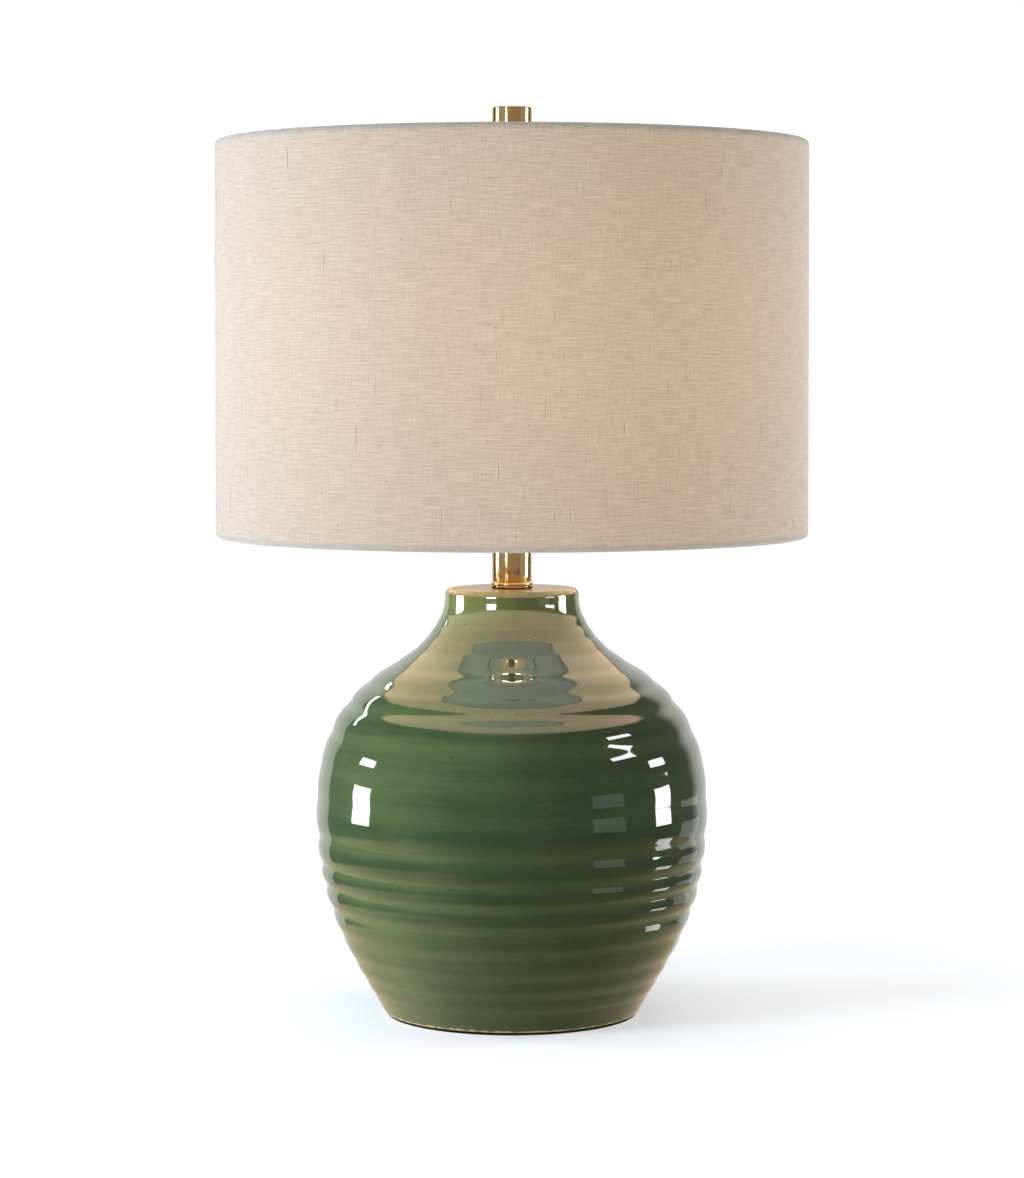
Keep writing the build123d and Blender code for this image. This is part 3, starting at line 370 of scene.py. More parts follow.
def clamped_spline(points, ends, count):
    """Points evenly spaced on a smooth line through the given points, and the line's length."""
    ends = ends / np.linalg.norm(ends, axis=1)[:, None]
    step = np.linalg.norm(np.diff(points, axis=0), axis=1)
    knots = np.concatenate([[0], np.cumsum(step)])
    slope = np.diff(points, axis=0) / step[:, None]
    matrix, known = np.eye(len(points)), np.zeros_like(points)
    known[0], known[-1] = ends
    for i in range(1, len(points) - 1):
        matrix[i, i - 1 : i + 2] = step[i], 2 * (step[i - 1] + step[i]), step[i - 1]
        known[i] = 3 * (step[i] * slope[i - 1] + step[i - 1] * slope[i])
    tangent = np.linalg.solve(matrix, known)
    t = np.linspace(0, knots[-1], 4000)
    k = np.clip(np.searchsorted(knots, t, side="right") - 1, 0, len(step) - 1)
    u, h = ((t - knots[k]) / step[k])[:, None], step[k][:, None]
    fine = (
        (1 + 2 * u) * (1 - u) ** 2 * points[k]
        + u * (1 - u) ** 2 * h * tangent[k]
        + u * u * (3 - 2 * u) * points[k + 1]
        + u * u * (u - 1) * h * tangent[k + 1]
    )
    along = np.concatenate([[0], np.cumsum(np.linalg.norm(np.diff(fine, axis=0), axis=1))])
    at = np.linspace(0, along[-1], count)
    return np.column_stack([np.interp(at, along, fine[:, i]) for i in (0, 1)]), along[-1]


wall, wall_length = clamped_spline(WALL_POINTS, WALL_ENDS, WALL_ROWS)
print("wall line", round(wall_length, 1), "mm, widest", round(2 * wall[:, 0].max(), 1), "mm")

# %% [markdown]
# Throwing rings. The potter's fingers leave a crest and a hollow at each lift, unevenly spaced. The
# list gives each ring's distance from the one below and its depth. Between a crest and the next
# hollow the height eases over as a half cosine, raised to a power that keeps the crests narrow.

# %% throwing rings
RINGS = (
    (13.6, 0.30), (12.3, 0.35), (14.0, 0.45), (18.7, 0.60), (17.1, 1.00), (15.7, 1.10),
    (13.6, 1.10), (17.7, 0.90), (24.9, 0.25), (21.1, 0.25), (22.2, 0.85), (21.8, 0.75),
    (17.4, 0.50), (21.8, 0.20), (17.0, 0.16), (11.3, 0.14), (9.2, 0.12), (8.2, 0.10),
)
LAST_RING_TO_RIM = 9.2
CREST_SHARPNESS = 1.5
crests = np.cumsum([pitch for pitch, _ in RINGS])
hollows = crests + np.diff([*crests, crests[-1] + LAST_RING_TO_RIM]) / 2
depths = np.array([depth for _, depth in RINGS])
ring_places = np.concatenate([[0], np.column_stack([crests, hollows]).ravel(), [wall_length]])
ring_heights = np.concatenate([[0], np.column_stack([depths, -depths]).ravel() / 2, [0]])
along = np.linspace(0, wall_length, len(wall))
part = np.interp(along, ring_places, np.arange(len(ring_places)))
low = np.minimum(part.astype(int), len(ring_places) - 2)
ease = 0.5 - 0.5 * np.cos(np.pi * (part - low))
rising = low % 2 == 0
dip = np.where(rising, ring_heights[low], ring_heights[low + 1])
top = np.where(rising, ring_heights[low + 1], ring_heights[low])
wall_lift = dip + (top - dip) * np.where(rising, ease, 1 - ease) ** CREST_SHARPNESS
print(len(RINGS), "rings, from", round(wall_lift.min(), 2), "to", round(wall_lift.max(), 2), "mm")

# %% [markdown]
# The body's whole outline is a closed loop: wall, rounded rim, pipe hole, the hollow inside, and the
# recess under the foot. It becomes a loop of edges whose points carry the ring height as an attribute.


# %% outline of the body
def arc(middle_r, middle_z, radius, start, end, steps):
    """Points of a rounded corner, angles in degrees from straight out towards up."""
    turn = np.radians(np.linspace(start, end, steps))
    return np.column_stack([middle_r + radius * np.cos(turn), middle_z + radius * np.sin(turn)])


CLAY_THICKNESS, HOLLOW_FLOOR, HOLLOW_TOP = 7, 29, 267
BODY_TOP, PIPE_HOLE, RIM_ROUND = 275.0, 6.05, 4.2
FOOT_LEVEL, FOOT_EDGE, RECESS_RADIUS, RECESS_TOP = 2.0, 81.9, 72.55, 22.0
SWEEP_RADIUS = 0.001
inward = np.column_stack([np.gradient(wall[:, 1]), -np.gradient(wall[:, 0])])
inner = wall[::18] - inward[::18] * CLAY_THICKNESS
inner = inner[(inner[:, 1] > HOLLOW_FLOOR + 1) & (inner[:, 1] < HOLLOW_TOP - 1)]
outline = np.concatenate(
    [
        [(FOOT_EDGE, FOOT_LEVEL)],
        wall[1:],
        arc(39.1, 270.8, RIM_ROUND, 0, 90, 12),
        [(27.0, BODY_TOP), (16.0, BODY_TOP), (PIPE_HOLE, BODY_TOP)],
        [(PIPE_HOLE, HOLLOW_TOP), (inner[-1, 0], HOLLOW_TOP)],
        inner[::-1],
        [(inner[0, 0], HOLLOW_FLOOR), (PIPE_HOLE, HOLLOW_FLOOR)],
        [(PIPE_HOLE, RECESS_TOP), (RECESS_RADIUS, RECESS_TOP), (RECESS_RADIUS, FOOT_LEVEL)],
    ]
)
outline_lift = np.zeros(len(outline))
outline_lift[1 : len(wall)] = wall_lift[1:]
loop_mesh = bpy.data.meshes.new("body_outline")
loop_mesh.from_pydata(
    [(r / 1000 - SWEEP_RADIUS, -z / 1000, 0) for r, z in outline],
    [(i, (i + 1) % len(outline)) for i in range(len(outline))],
    [],
)
loop_mesh.attributes.new("lift", "FLOAT", "POINT").data.foreach_set("value", outline_lift / 1000)
print("outline of", len(outline), "points")

# %% [markdown]
# The body follows a rule, an outline turned round an axis, so Geometry Nodes make it. The outline is
# swept round a tiny circle whose normals point outwards. Then the rings are raised along the surface,
# a little stronger in one place than in another, and a slow wobble keeps it hand-made: both are what
# bends the reflections in the real glaze.


# %% tree for the body
def new_tree(name, **inputs):
    """Empty Geometry Nodes tree, its inputs listed by kind, and the sockets that bring them in."""
    made = bpy.data.node_groups.new(name, "GeometryNodeTree")
    made.interface.new_socket("Geometry", in_out="OUTPUT", socket_type="NodeSocketGeometry")
    for kind, titles in inputs.items():
        for title in titles:
            made.interface.new_socket(title, in_out="INPUT", socket_type="NodeSocket" + kind)
    return made, add(made, "NodeGroupInput").outputs


thrown, given = new_tree(
    "thrown_body",
    Geometry=["Outline"],
    Int=["Sides"],
    Float=[
        "Sweep radius", "Ring strength", "Ring change", "Wobble", "Seed",
        "Cord hole", "Flange seat", "Flange face", "Cord level",
    ],
    Material=["Glaze"],
)
loop = add(thrown, "GeometryNodeMeshToCurve", {"Mesh": given["Outline"]})
circle = add(
    thrown, "GeometryNodeCurvePrimitiveCircle", {"Resolution": given["Sides"], "Radius": given["Sweep radius"]}
)
circle = add(thrown, "GeometryNodeSetCurveNormal", {"Curve": circle}, mode="Z_UP")
swept = add(thrown, "GeometryNodeCurveToMesh", {"Curve": circle, "Profile Curve": loop})
spot = add(thrown, "GeometryNodeInputPosition")
slow = []
for across, detail in ((0.09, 1.0), (0.05, 0.0)):
    noise = {"Vector": spot, "W": given["Seed"], "Scale": 1 / across, "Detail": detail}
    noise = add(thrown, "ShaderNodeTexNoise", noise, noise_dimensions="4D")
    slow.append(add(thrown, "ShaderNodeMath", {0: noise, 1: 0.5}, operation="SUBTRACT"))
change = {0: slow[0], 1: given["Ring change"], 2: given["Ring strength"]}
change = add(thrown, "ShaderNodeMath", change, operation="MULTIPLY_ADD")
lift = add(thrown, "GeometryNodeInputNamedAttribute", {"Name": "lift"}, data_type="FLOAT").outputs["Attribute"]
ring_rise = add(thrown, "ShaderNodeMath", {0: lift, 1: change}, operation="MULTIPLY")
elsewhere = add(thrown, "ShaderNodeMath", {0: lift, 1: 0.0, 2: 1e-9}, operation="COMPARE")
on_wall = add(thrown, "ShaderNodeMath", {0: 1.0, 1: elsewhere}, operation="SUBTRACT")
wobble = add(thrown, "ShaderNodeMath", {0: slow[1], 1: given["Wobble"]}, operation="MULTIPLY")
rise = add(thrown, "ShaderNodeMath", {0: wobble, 1: on_wall, 2: ring_rise}, operation="MULTIPLY_ADD")
out = add(thrown, "GeometryNodeInputNormal")
shift = add(thrown, "ShaderNodeVectorMath", {0: out, "Scale": rise}, operation="SCALE")
shaped = add(thrown, "GeometryNodeSetPosition", {"Geometry": swept, "Offset": shift})
print("tree", thrown.name, len(thrown.nodes), "nodes so far")

# %% [markdown]
# The cord hole goes through the back of the foot, with a flat seat round it for the grommet's flange.
# A potter bores both in the soft clay, and here two cylinders are taken away. The tree ends by making
# the result real and giving it its glaze.

# %% cord hole
DRILL_LENGTH, HOLE_MIDDLE = 0.08, 0.1
seat_middle = add(thrown, "ShaderNodeMath", {0: given["Flange face"], 1: DRILL_LENGTH / 2})
for radius, middle in (("Cord hole", HOLE_MIDDLE), ("Flange seat", seat_middle)):
    drill = {"Vertices": 48, "Radius": given[radius], "Depth": DRILL_LENGTH}
    drill = add(thrown, "GeometryNodeMeshCylinder", drill)
    where = add(thrown, "ShaderNodeCombineXYZ", {"Y": middle, "Z": given["Cord level"]})
    drill = {"Geometry": drill, "Translation": where, "Rotation": (math.pi / 2, 0, 0)}
    drill = add(thrown, "GeometryNodeTransform", drill)
    cut = {"Mesh 1": shaped, "Mesh 2": drill}
    shaped = add(thrown, "GeometryNodeMeshBoolean", cut, operation="DIFFERENCE")
real = add(thrown, "GeometryNodeRealizeInstances", {"Geometry": shaped})
glazed = add(thrown, "GeometryNodeSetMaterial", {"Geometry": real, "Material": given["Glaze"]})
add(thrown, "NodeGroupOutput", {0: glazed})
print("tree", thrown.name, len(thrown.nodes), "nodes")

# %% [markdown]
# A tree is put on an object as a modifier. Its inputs are set by identifier before anything is
# evaluated, the result is copied as a plain mesh, and the modifier goes. Doubled points are merged and
# the faces turned outwards, and edges sharper than 35 degrees stay crisp.


# %% from a tree or points to a finished piece
CRISP_EDGE = math.radians(35)


def tidy(piece):
    """Merges doubled points, turns faces outwards and smooths all but the crisp edges."""
    work = bmesh.new()
    work.from_mesh(piece.data)
    bmesh.ops.remove_doubles(work, verts=work.verts, dist=2e-6)
    bmesh.ops.dissolve_degenerate(work, edges=work.edges, dist=1e-7)
    bmesh.ops.recalc_face_normals(work, faces=work.faces)
    work.to_mesh(piece.data)
    work.free()
    piece.data.shade_smooth()
    piece.data.set_sharp_from_angle(angle=CRISP_EDGE)
    return piece


def grow(name, tree, start, settings):
    """Runs a tree on a start mesh and keeps the result as a plain mesh object."""
    piece = bpy.data.objects.new(name, start)
    scene.collection.objects.link(piece)
    modifier = piece.modifiers.new("grow", "NODES")
    modifier.node_group = tree
    for socket in tree.interface.items_tree:
        if socket.name in settings:
            modifier[socket.identifier] = settings[socket.name]
    ready = piece.evaluated_get(bpy.context.evaluated_depsgraph_get())
    made = bpy.data.meshes.new_from_object(ready)
    piece.modifiers.clear()
    piece.data = made
    made.name = name
    return piece


body = grow(
    "glazed_body",
    thrown,
    loop_mesh,
    {
        "Sides": 256, "Sweep radius": SWEEP_RADIUS, "Ring strength": 1.3, "Ring change": 1.2,
        "Wobble": 0.0006, "Seed": 4.0, "Cord hole": 0.0045, "Flange seat": 0.0062,
        "Flange face": 0.08292, "Cord level": 0.012, "Glaze": glaze,
    },
)
tidy(body)
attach(body, "base")
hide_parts("ceramic_body")
body_only.objects.link(body)
print(body.name, len(body.data.polygons), "faces", [round(v, 4) for v in body.dimensions])

# %% [markdown]
# Lacquered brass. Neck and finial are turned from tube and bar and brushed on the lathe, so fine lines
# run round them and stretch each light into an upright streak. Real brush lines are about 0.1 mm apart,
# too fine to show, so they are drawn 0.4 mm apart. The other metals here differ only in colour and in
# how rough their surface is, so one function makes them all.


# %% metals
HANDLED_PATCH = 0.018


def turned_metal(name, bright, dull, smooth, rough, line_mm, line_depth_mm, lacquer=0.0):
    """Metal with fine lines round the Z axis and slow patches of handling."""
    made, tree = new_material(name)
    place = add(tree, "ShaderNodeTexCoord").outputs["Object"]
    patch = add(tree, "ShaderNodeTexNoise", {"Vector": place, "Scale": 1 / HANDLED_PATCH, "Detail": 4.0})
    flat = add(tree, "ShaderNodeMapping", {"Vector": place, "Scale": (0.02, 0.02, 1.0)})
    line = add(tree, "ShaderNodeTexNoise", {"Vector": flat, "Scale": 1000 / line_mm, "Detail": 2.0})
    tone = add(tree, "ShaderNodeMath", {0: line, 1: 0.5, 2: patch}, operation="MULTIPLY_ADD")
    tone = add(tree, "ShaderNodeMapRange", {"Value": tone, 1: 0.45, 2: 1.05})
    colour = add(tree, "ShaderNodeMix", {0: tone, 6: linear(bright), 7: linear(dull)}, data_type="RGBA")
    gloss = add(tree, "ShaderNodeMapRange", {"Value": tone, 3: smooth, 4: rough})
    brushed = add(tree, "ShaderNodeBump", {"Height": line, "Distance": line_depth_mm / 1000, "Strength": 1.0})
    shader = add(
        tree,
        "ShaderNodeBsdfPrincipled",
        {
            "Base Color": colour.outputs[2], "Metallic": 1.0, "Roughness": gloss, "Normal": brushed,
            "Coat Weight": lacquer, "Coat Roughness": 0.06,
        },
    )
    add(tree, "ShaderNodeOutputMaterial", {"Surface": shader})
    return made


brass = turned_metal("brushed_brass", "#d6b57c", "#c09a5c", 0.10, 0.18, 0.4, 0.003, 1.0)
steel = turned_metal("zinc_plated_steel", "#c4c6c8", "#9a9c9c", 0.28, 0.45, 0.6, 0.004)
aluminium = turned_metal("drawn_aluminium", "#d6d6d2", "#b4b4b0", 0.25, 0.4, 0.5, 0.003)
tungsten = turned_metal("tungsten_wire", "#9a9a9c", "#707074", 0.3, 0.5, 0.3, 0.003)
print("metals", [m.name for m in (brass, steel, aluminium, tungsten)])

# %% [markdown]
# The neck is a spun tube with a bead at its foot, and the finial is a plain drum with a blind thread
# hole. Both are closed outlines turned round the axis: simple enough for plain mesh code. Every edge
# is broken by a small radius, because a real turned edge always catches a line of light.


# %% turned pieces
def turned(name, outline_mm, sides, finish):
    """Closed outline of radius and height, turned round the Z axis."""
    points = np.asarray(outline_mm, float) / 1000
    count = len(points)
    turn = np.arange(sides) * 2 * np.pi / sides
    corners = [(r * math.cos(a), r * math.sin(a), z) for a in turn for r, z in points]
    faces = []
    for i in range(sides):
        here, there = i * count, (i + 1) % sides * count
        for j in range(count):
            k = (j + 1) % count
            faces.append((here + j, there + j, there + k, here + k))
    mesh = bpy.data.meshes.new(name)
    mesh.from_pydata(corners, [], faces)
    mesh.materials.append(finish)
    piece = bpy.data.objects.new(name, mesh)
    scene.collection.objects.link(piece)
    return tidy(piece)


neck_outline = np.concatenate(
    [
        [(4.95, 276.0), (12.6, 276.0)],  # underside, from the pipe hole out
        arc(12.15, 277.8, 1.45, -75, 75, 11),  # bead
        [(12.7, 279.7), (12.7, 300.0), (12.7, 321.7)],  # tube
        [(12.4, 322.0), (11.8, 322.0)],  # its top edge
        [(11.8, 277.2), (4.95, 277.2)],  # inside
    ]
)
finial_outline = np.concatenate(
    [
        [(3.2, 558.6), (12.3, 558.6)],  # underside, from the thread hole out
        arc(12.3, 559.0, 0.4, -90, 0, 5),
        [(12.7, 571.0)],  # drum
        arc(11.9, 583.4, 0.8, 0, 90, 8),
        [(6.0, 584.2), (0, 584.2)],  # top
        [(0, 570.6), (3.2, 570.6)],  # end of the thread hole
    ]
)
neck = turned("brass_neck", neck_outline, 128, brass)
finial = turned("brass_finial", finial_outline, 128, brass)
for piece, rides, node in ((neck, "base", "neck_tube"), (finial, "finial", "finial")):
    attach(piece, rides)
    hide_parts(node)
    brass_only.objects.link(piece)
    print(piece.name, len(piece.data.polygons), "faces")

# %% [markdown]
# Black rubber. The pad under the foot, the gaskets and the cord grommet are moulded, dull and faintly
# dusty. The pad's edge is rounded, as a die-cut sheet is after use.

# %% rubber and the foot pad
GRIT, DUST_PATCH = 0.0012, 0.02
rubber, tree = new_material("moulded_black_rubber")
place = add(tree, "ShaderNodeTexCoord").outputs["Object"]
grit = add(tree, "ShaderNodeTexNoise", {"Vector": place, "Scale": 1 / GRIT, "Detail": 3.0})
dust = add(tree, "ShaderNodeTexNoise", {"Vector": place, "Scale": 1 / DUST_PATCH, "Detail": 5.0})
dust = add(tree, "ShaderNodeMapRange", {"Value": dust, 1: 0.5, 2: 0.75})
colour = {0: dust, 6: linear("#161617"), 7: linear("#2b2a29")}
colour = add(tree, "ShaderNodeMix", colour, data_type="RGBA").outputs[2]
grain = add(tree, "ShaderNodeBump", {"Height": grit, "Distance": 0.0001, "Strength": 0.6})
matt = add(tree, "ShaderNodeMapRange", {"Value": grit, 3: 0.6, 4: 0.85})
shader = add(tree, "ShaderNodeBsdfPrincipled", {"Base Color": colour, "Roughness": matt, "Normal": grain})
add(tree, "ShaderNodeOutputMaterial", {"Surface": shader})
pad_outline = [[(0, 0)], arc(80.05, 0.5, 0.5, -90, 0, 5), arc(80.05, 1.5, 0.5, 0, 90, 5), [(0, 2.0)]]
pad = turned("foot_pad", np.concatenate(pad_outline), 160, rubber)
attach(pad, "base")
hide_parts("base_pad")
print(pad.name, len(pad.data.polygons), "faces")

# %% [markdown]
# Linen. The shade is undyed flax in plain weave: uneven threads both ways, with specks of husk. The
# cloth's own UV map is in metres, along the cloth and up it, so the threads follow it over its hems.
# They are drawn at their real size, about 0.8 mm thick, so they only just show, the weft more than the
# warp. By itself the cloth is a cool greyish beige. The thick places in the yarn, which are a piece of
# their own further down, carry a tone from 0 to 1 that darkens them.

# %% linen threads
THREAD, WEFT_LENGTH, WARP_LENGTH = 0.0008, 0.016, 0.012
linen, tree = new_material("natural_flax_linen")
cloth = add(tree, "ShaderNodeUVMap", uv_map="cloth")
tone = add(tree, "ShaderNodeAttribute", attribute_name="tone").outputs["Fac"]
weft = add(tree, "ShaderNodeMapping", {"Vector": cloth, "Scale": (1 / WEFT_LENGTH, 1 / THREAD, 1)})
weft = add(tree, "ShaderNodeTexNoise", {"Vector": weft, "Scale": 1.0, "Detail": 1.0})
warp = add(tree, "ShaderNodeMapping", {"Vector": cloth, "Scale": (1 / THREAD, 1 / WARP_LENGTH, 1)})
warp = add(tree, "ShaderNodeTexNoise", {"Vector": warp, "Scale": 1.0, "Detail": 1.0})
thread = add(tree, "ShaderNodeMath", {0: warp, 1: 0.5, 2: weft}, operation="MULTIPLY_ADD")
thick = add(tree, "ShaderNodeMapRange", {"Value": thread, 1: 0.54, 2: 0.96})
husk = add(tree, "ShaderNodeMapping", {"Vector": cloth, "Scale": (1 / 0.0024, 1 / 0.0016, 1)})
husk = add(tree, "ShaderNodeTexNoise", {"Vector": husk, "Scale": 1.0, "Detail": 1.0})
husk = add(tree, "ShaderNodeMapRange", {"Value": husk, 1: 0.70, 2: 0.76, 4: 0.6})
flax = linear("#bfb5a8")
for share, colour in ((thick, "#aaa196"), (husk, "#5f5140"), (tone, "#7f7363")):
    flax = add(tree, "ShaderNodeMix", {0: share, 6: flax, 7: linear(colour)}, data_type="RGBA").outputs[2]
print("material", linen.name)

# %% [markdown]
# The lit bulb shows through the linen, warm, most at half height and less where a thread is thick. It
# doesn't show through the hems, where the cloth lies double over the wire. Real light could be sent
# through the cloth, but a glow that the material works out is free of noise and easy to match. Sheen is
# the fuzz of loose fibres, which whitens the cloth at its edges.

# %% light through the linen
SHADE_MIDDLE, HEM_NEAR, HEM_FAR = 0.4352, 0.1226, 0.1260
spot = add(tree, "ShaderNodeTexCoord").outputs["Object"]
height = add(tree, "ShaderNodeSeparateXYZ", {0: spot}).outputs["Z"]
middle = add(tree, "ShaderNodeMath", {0: height, 1: SHADE_MIDDLE}, operation="SUBTRACT")
middle = add(tree, "ShaderNodeMath", {0: middle}, operation="ABSOLUTE")
ragged = add(tree, "ShaderNodeMath", {0: warp, 1: 0.002, 2: middle}, operation="MULTIPLY_ADD")
single = {"Value": ragged, 1: HEM_NEAR, 2: HEM_FAR, 3: 1.0, 4: 0.0}
single = add(tree, "ShaderNodeMapRange", single, interpolation_type="SMOOTHSTEP")
near = add(tree, "ShaderNodeMapRange", {"Value": middle, 1: 0.03, 2: 0.12, 3: 1.0, 4: 0.75})
dense = add(tree, "ShaderNodeMapRange", {"Value": tone, 3: 1.0, 4: 0.4})
passed = add(tree, "ShaderNodeMapRange", {"Value": thick, 3: 0.225, 4: 0.200})
for share in (near, single, dense):
    passed = add(tree, "ShaderNodeMath", {0: passed, 1: share}, operation="MULTIPLY")
patch = add(tree, "ShaderNodeTexNoise", {"Vector": cloth, "Scale": 1 / 0.03, "Detail": 3.0})
warm = add(tree, "ShaderNodeMapRange", {"Value": patch, 1: 0.35, 2: 0.65})
through = {0: warm, 6: linear("#ffbb64"), 7: linear("#ffc36c")}
through = add(tree, "ShaderNodeMix", through, data_type="RGBA").outputs[2]
weave = add(tree, "ShaderNodeBump", {"Height": thread, "Distance": 0.00025, "Strength": 0.6})
matt = add(tree, "ShaderNodeMapRange", {"Value": thick, 3: 0.8, 4: 0.95})
shader = add(
    tree,
    "ShaderNodeBsdfPrincipled",
    {
        "Base Color": flax, "Roughness": matt, "Specular IOR Level": 0.25, "Normal": weave,
        "Sheen Weight": 0.7, "Sheen Roughness": 0.45,
        "Emission Color": through, "Emission Strength": passed,
    },
)
add(tree, "ShaderNodeOutputMaterial", {"Surface": shader})
print("linen", len(tree.nodes), "nodes")

# %% [markdown]
# The cloth is one strip, rolled into a drum round the two wire rings. It starts and ends at the back,
# where the last 12 mm lie over the first, and it turns over each wire and a little way back up inside.
# The strip is laid out as a grid in its own two directions, which are also its UV map, and each point
# is then rolled to its place. Solidify gives it a linen's thickness.

# %% shade cloth
SHADE_RADIUS, RING_RADIUS, HEM_RADIUS = 190.5, 187.4, 3.1
BOTTOM_RING, TOP_RING, HEM_WRAP = 311.3, 559.1, 215
SEAM, SEAM_RISE, SEAM_EASE = 12.0, 0.8, 7
COLUMNS, HEM_ROWS, DRUM_ROWS = 288, 16, 24
upright = np.linspace(BOTTOM_RING, TOP_RING, DRUM_ROWS + 2)[1:-1]
section = np.concatenate(
    [
        arc(RING_RADIUS, BOTTOM_RING, HEM_RADIUS, -HEM_WRAP, 0, HEM_ROWS),
        np.column_stack([np.full(DRUM_ROWS, SHADE_RADIUS), upright]),
        arc(RING_RADIUS, TOP_RING, HEM_RADIUS, 0, HEM_WRAP, HEM_ROWS),
    ]
)
climb = np.concatenate([[0], np.cumsum(np.linalg.norm(np.diff(section, axis=0), axis=1))])
girth = 2 * np.pi * SHADE_RADIUS
reel = np.concatenate([np.arange(COLUMNS) * girth / COLUMNS, girth + np.linspace(0, SEAM, 4)])
over = np.clip((reel - girth + SEAM_EASE) / SEAM_EASE, 0, 1)
over = SEAM_RISE * over * over * (3 - 2 * over)
rows = len(section)
points, uvs = [], []
for u, rise in zip(reel, over):
    a = math.pi / 2 + u / SHADE_RADIUS
    for (r, z), v in zip(section, climb):
        points.append(((r + rise) / 1000 * math.cos(a), (r + rise) / 1000 * math.sin(a), z / 1000))
        uvs.append((u / 1000, v / 1000))
faces = []
for i in range(len(reel) - 1):
    for j in range(rows - 1):
        faces.append((i * rows + j, (i + 1) * rows + j, (i + 1) * rows + j + 1, i * rows + j + 1))
mesh = bpy.data.meshes.new("linen_shade")
mesh.from_pydata(points, [], faces)
mesh.materials.append(linen)
layer = mesh.uv_layers.new(name="cloth")
for corner in mesh.loops:
    layer.data[corner.index].uv = uvs[corner.vertex_index]
mesh.shade_smooth()
strip = bpy.data.objects.new("linen_shade", mesh)
scene.collection.objects.link(strip)
thicken = strip.modifiers.new("thickness", "SOLIDIFY")
thicken.thickness = 0.0006
thicken.offset = -1
strip.data = bpy.data.meshes.new_from_object(strip.evaluated_get(bpy.context.evaluated_depsgraph_get()))
strip.modifiers.clear()
strip.data.set_sharp_from_angle(angle=math.radians(50))
print(strip.name, len(strip.data.polygons), "faces, cut", round(reel[-1]), "x", round(climb[-1]), "mm")

# %% [markdown]
# Slubs are the thick places in hand-spun yarn: a few millimetres to two centimetres long and barely
# proud of the cloth. There are thousands, all different, which is work for Geometry Nodes: points are
# scattered on the flat strip, each gets a small spindle of its own length, and then the whole sheet of
# spindles is rolled into the drum. Most lie along the weft, and one in ten along the warp.

# %% tree for the slubs
slubbed, given = new_tree(
    "linen_slubs",
    Float=["Length", "Height", "Radius", "Base", "Per metre", "Shortest", "Longest", "Thickness"],
    Int=["Seed"],
    Material=["Linen"],
)
flat = add(slubbed, "GeometryNodeMeshGrid", {"Size X": given["Length"], "Size Y": given["Height"]})
dots = {"Mesh": flat, "Density": given["Per metre"], "Seed": given["Seed"]}
dots = add(slubbed, "GeometryNodeDistributePointsOnFaces", dots)
spindle = add(slubbed, "GeometryNodeMeshUVSphere", {"Segments": 5, "Rings": 6, "Radius": 0.5})
spindle = add(slubbed, "GeometryNodeTransform", {"Geometry": spindle, "Rotation": (0, math.pi / 2, 0)})
draws = []
for step, low, high in ((0, given["Shortest"], given["Longest"]), (1, 0.5, 1.3), (2, 0.0, 1.0)):
    draw = {2: low, 3: high, "Seed": add(slubbed, "ShaderNodeMath", {0: given["Seed"], 1: step})}
    draws.append(add(slubbed, "FunctionNodeRandomValue", draw, data_type="FLOAT").outputs[1])
long, stout, dice = draws
stout = add(slubbed, "ShaderNodeMath", {0: stout, 1: given["Thickness"]}, operation="MULTIPLY")
size = add(slubbed, "ShaderNodeCombineXYZ", {"X": long, "Y": stout, "Z": stout})
warpwise = add(slubbed, "ShaderNodeMath", {0: dice, 1: 0.9}, operation="GREATER_THAN")
quarter = add(slubbed, "ShaderNodeMath", {0: warpwise, 1: math.pi / 2}, operation="MULTIPLY")
turn = add(slubbed, "ShaderNodeCombineXYZ", {"Z": quarter})
toned = {"Geometry": dots, "Name": "tone"}
toned["Value"] = add(slubbed, "ShaderNodeMath", {0: dice, 1: 5.0}, operation="POWER")
toned = add(slubbed, "GeometryNodeStoreNamedAttribute", toned, data_type="FLOAT", domain="POINT")
laid = {"Points": toned, "Instance": spindle, "Rotation": turn, "Scale": size}
laid = add(slubbed, "GeometryNodeInstanceOnPoints", laid)
real = add(slubbed, "GeometryNodeRealizeInstances", {"Geometry": laid})
print("tree", slubbed.name, len(slubbed.nodes), "nodes so far")

# %% [markdown]
# Rolling the sheet. The way along the strip becomes an angle round the drum, and the height above the
# strip becomes a little more radius. A curve deform could bend it too, but this is exact.

# %% roll of the slubs
spot = add(slubbed, "ShaderNodeSeparateXYZ", {0: add(slubbed, "GeometryNodeInputPosition")}).outputs
angle = add(slubbed, "ShaderNodeMath", {0: spot["X"], 1: given["Radius"]}, operation="DIVIDE")
from_axis = add(slubbed, "ShaderNodeMath", {0: spot["Z"], 1: given["Radius"]})
east = add(slubbed, "ShaderNodeMath", {0: angle}, operation="SINE")
east = add(slubbed, "ShaderNodeMath", {0: east, 1: from_axis}, operation="MULTIPLY")
south = add(slubbed, "ShaderNodeMath", {0: angle}, operation="COSINE")
south = add(slubbed, "ShaderNodeMath", {0: south, 1: from_axis}, operation="MULTIPLY")
south = add(slubbed, "ShaderNodeMath", {0: south, 1: -1.0}, operation="MULTIPLY")
level = add(slubbed, "ShaderNodeMath", {0: spot["Y"], 1: given["Base"]})
rolled = add(slubbed, "ShaderNodeCombineXYZ", {"X": east, "Y": south, "Z": level})
drum = add(slubbed, "GeometryNodeSetPosition", {"Geometry": real, "Position": rolled})
dyed = add(slubbed, "GeometryNodeSetMaterial", {"Geometry": drum, "Material": given["Linen"]})
add(slubbed, "NodeGroupOutput", {0: dyed})
print("tree", slubbed.name, len(slubbed.nodes), "nodes")
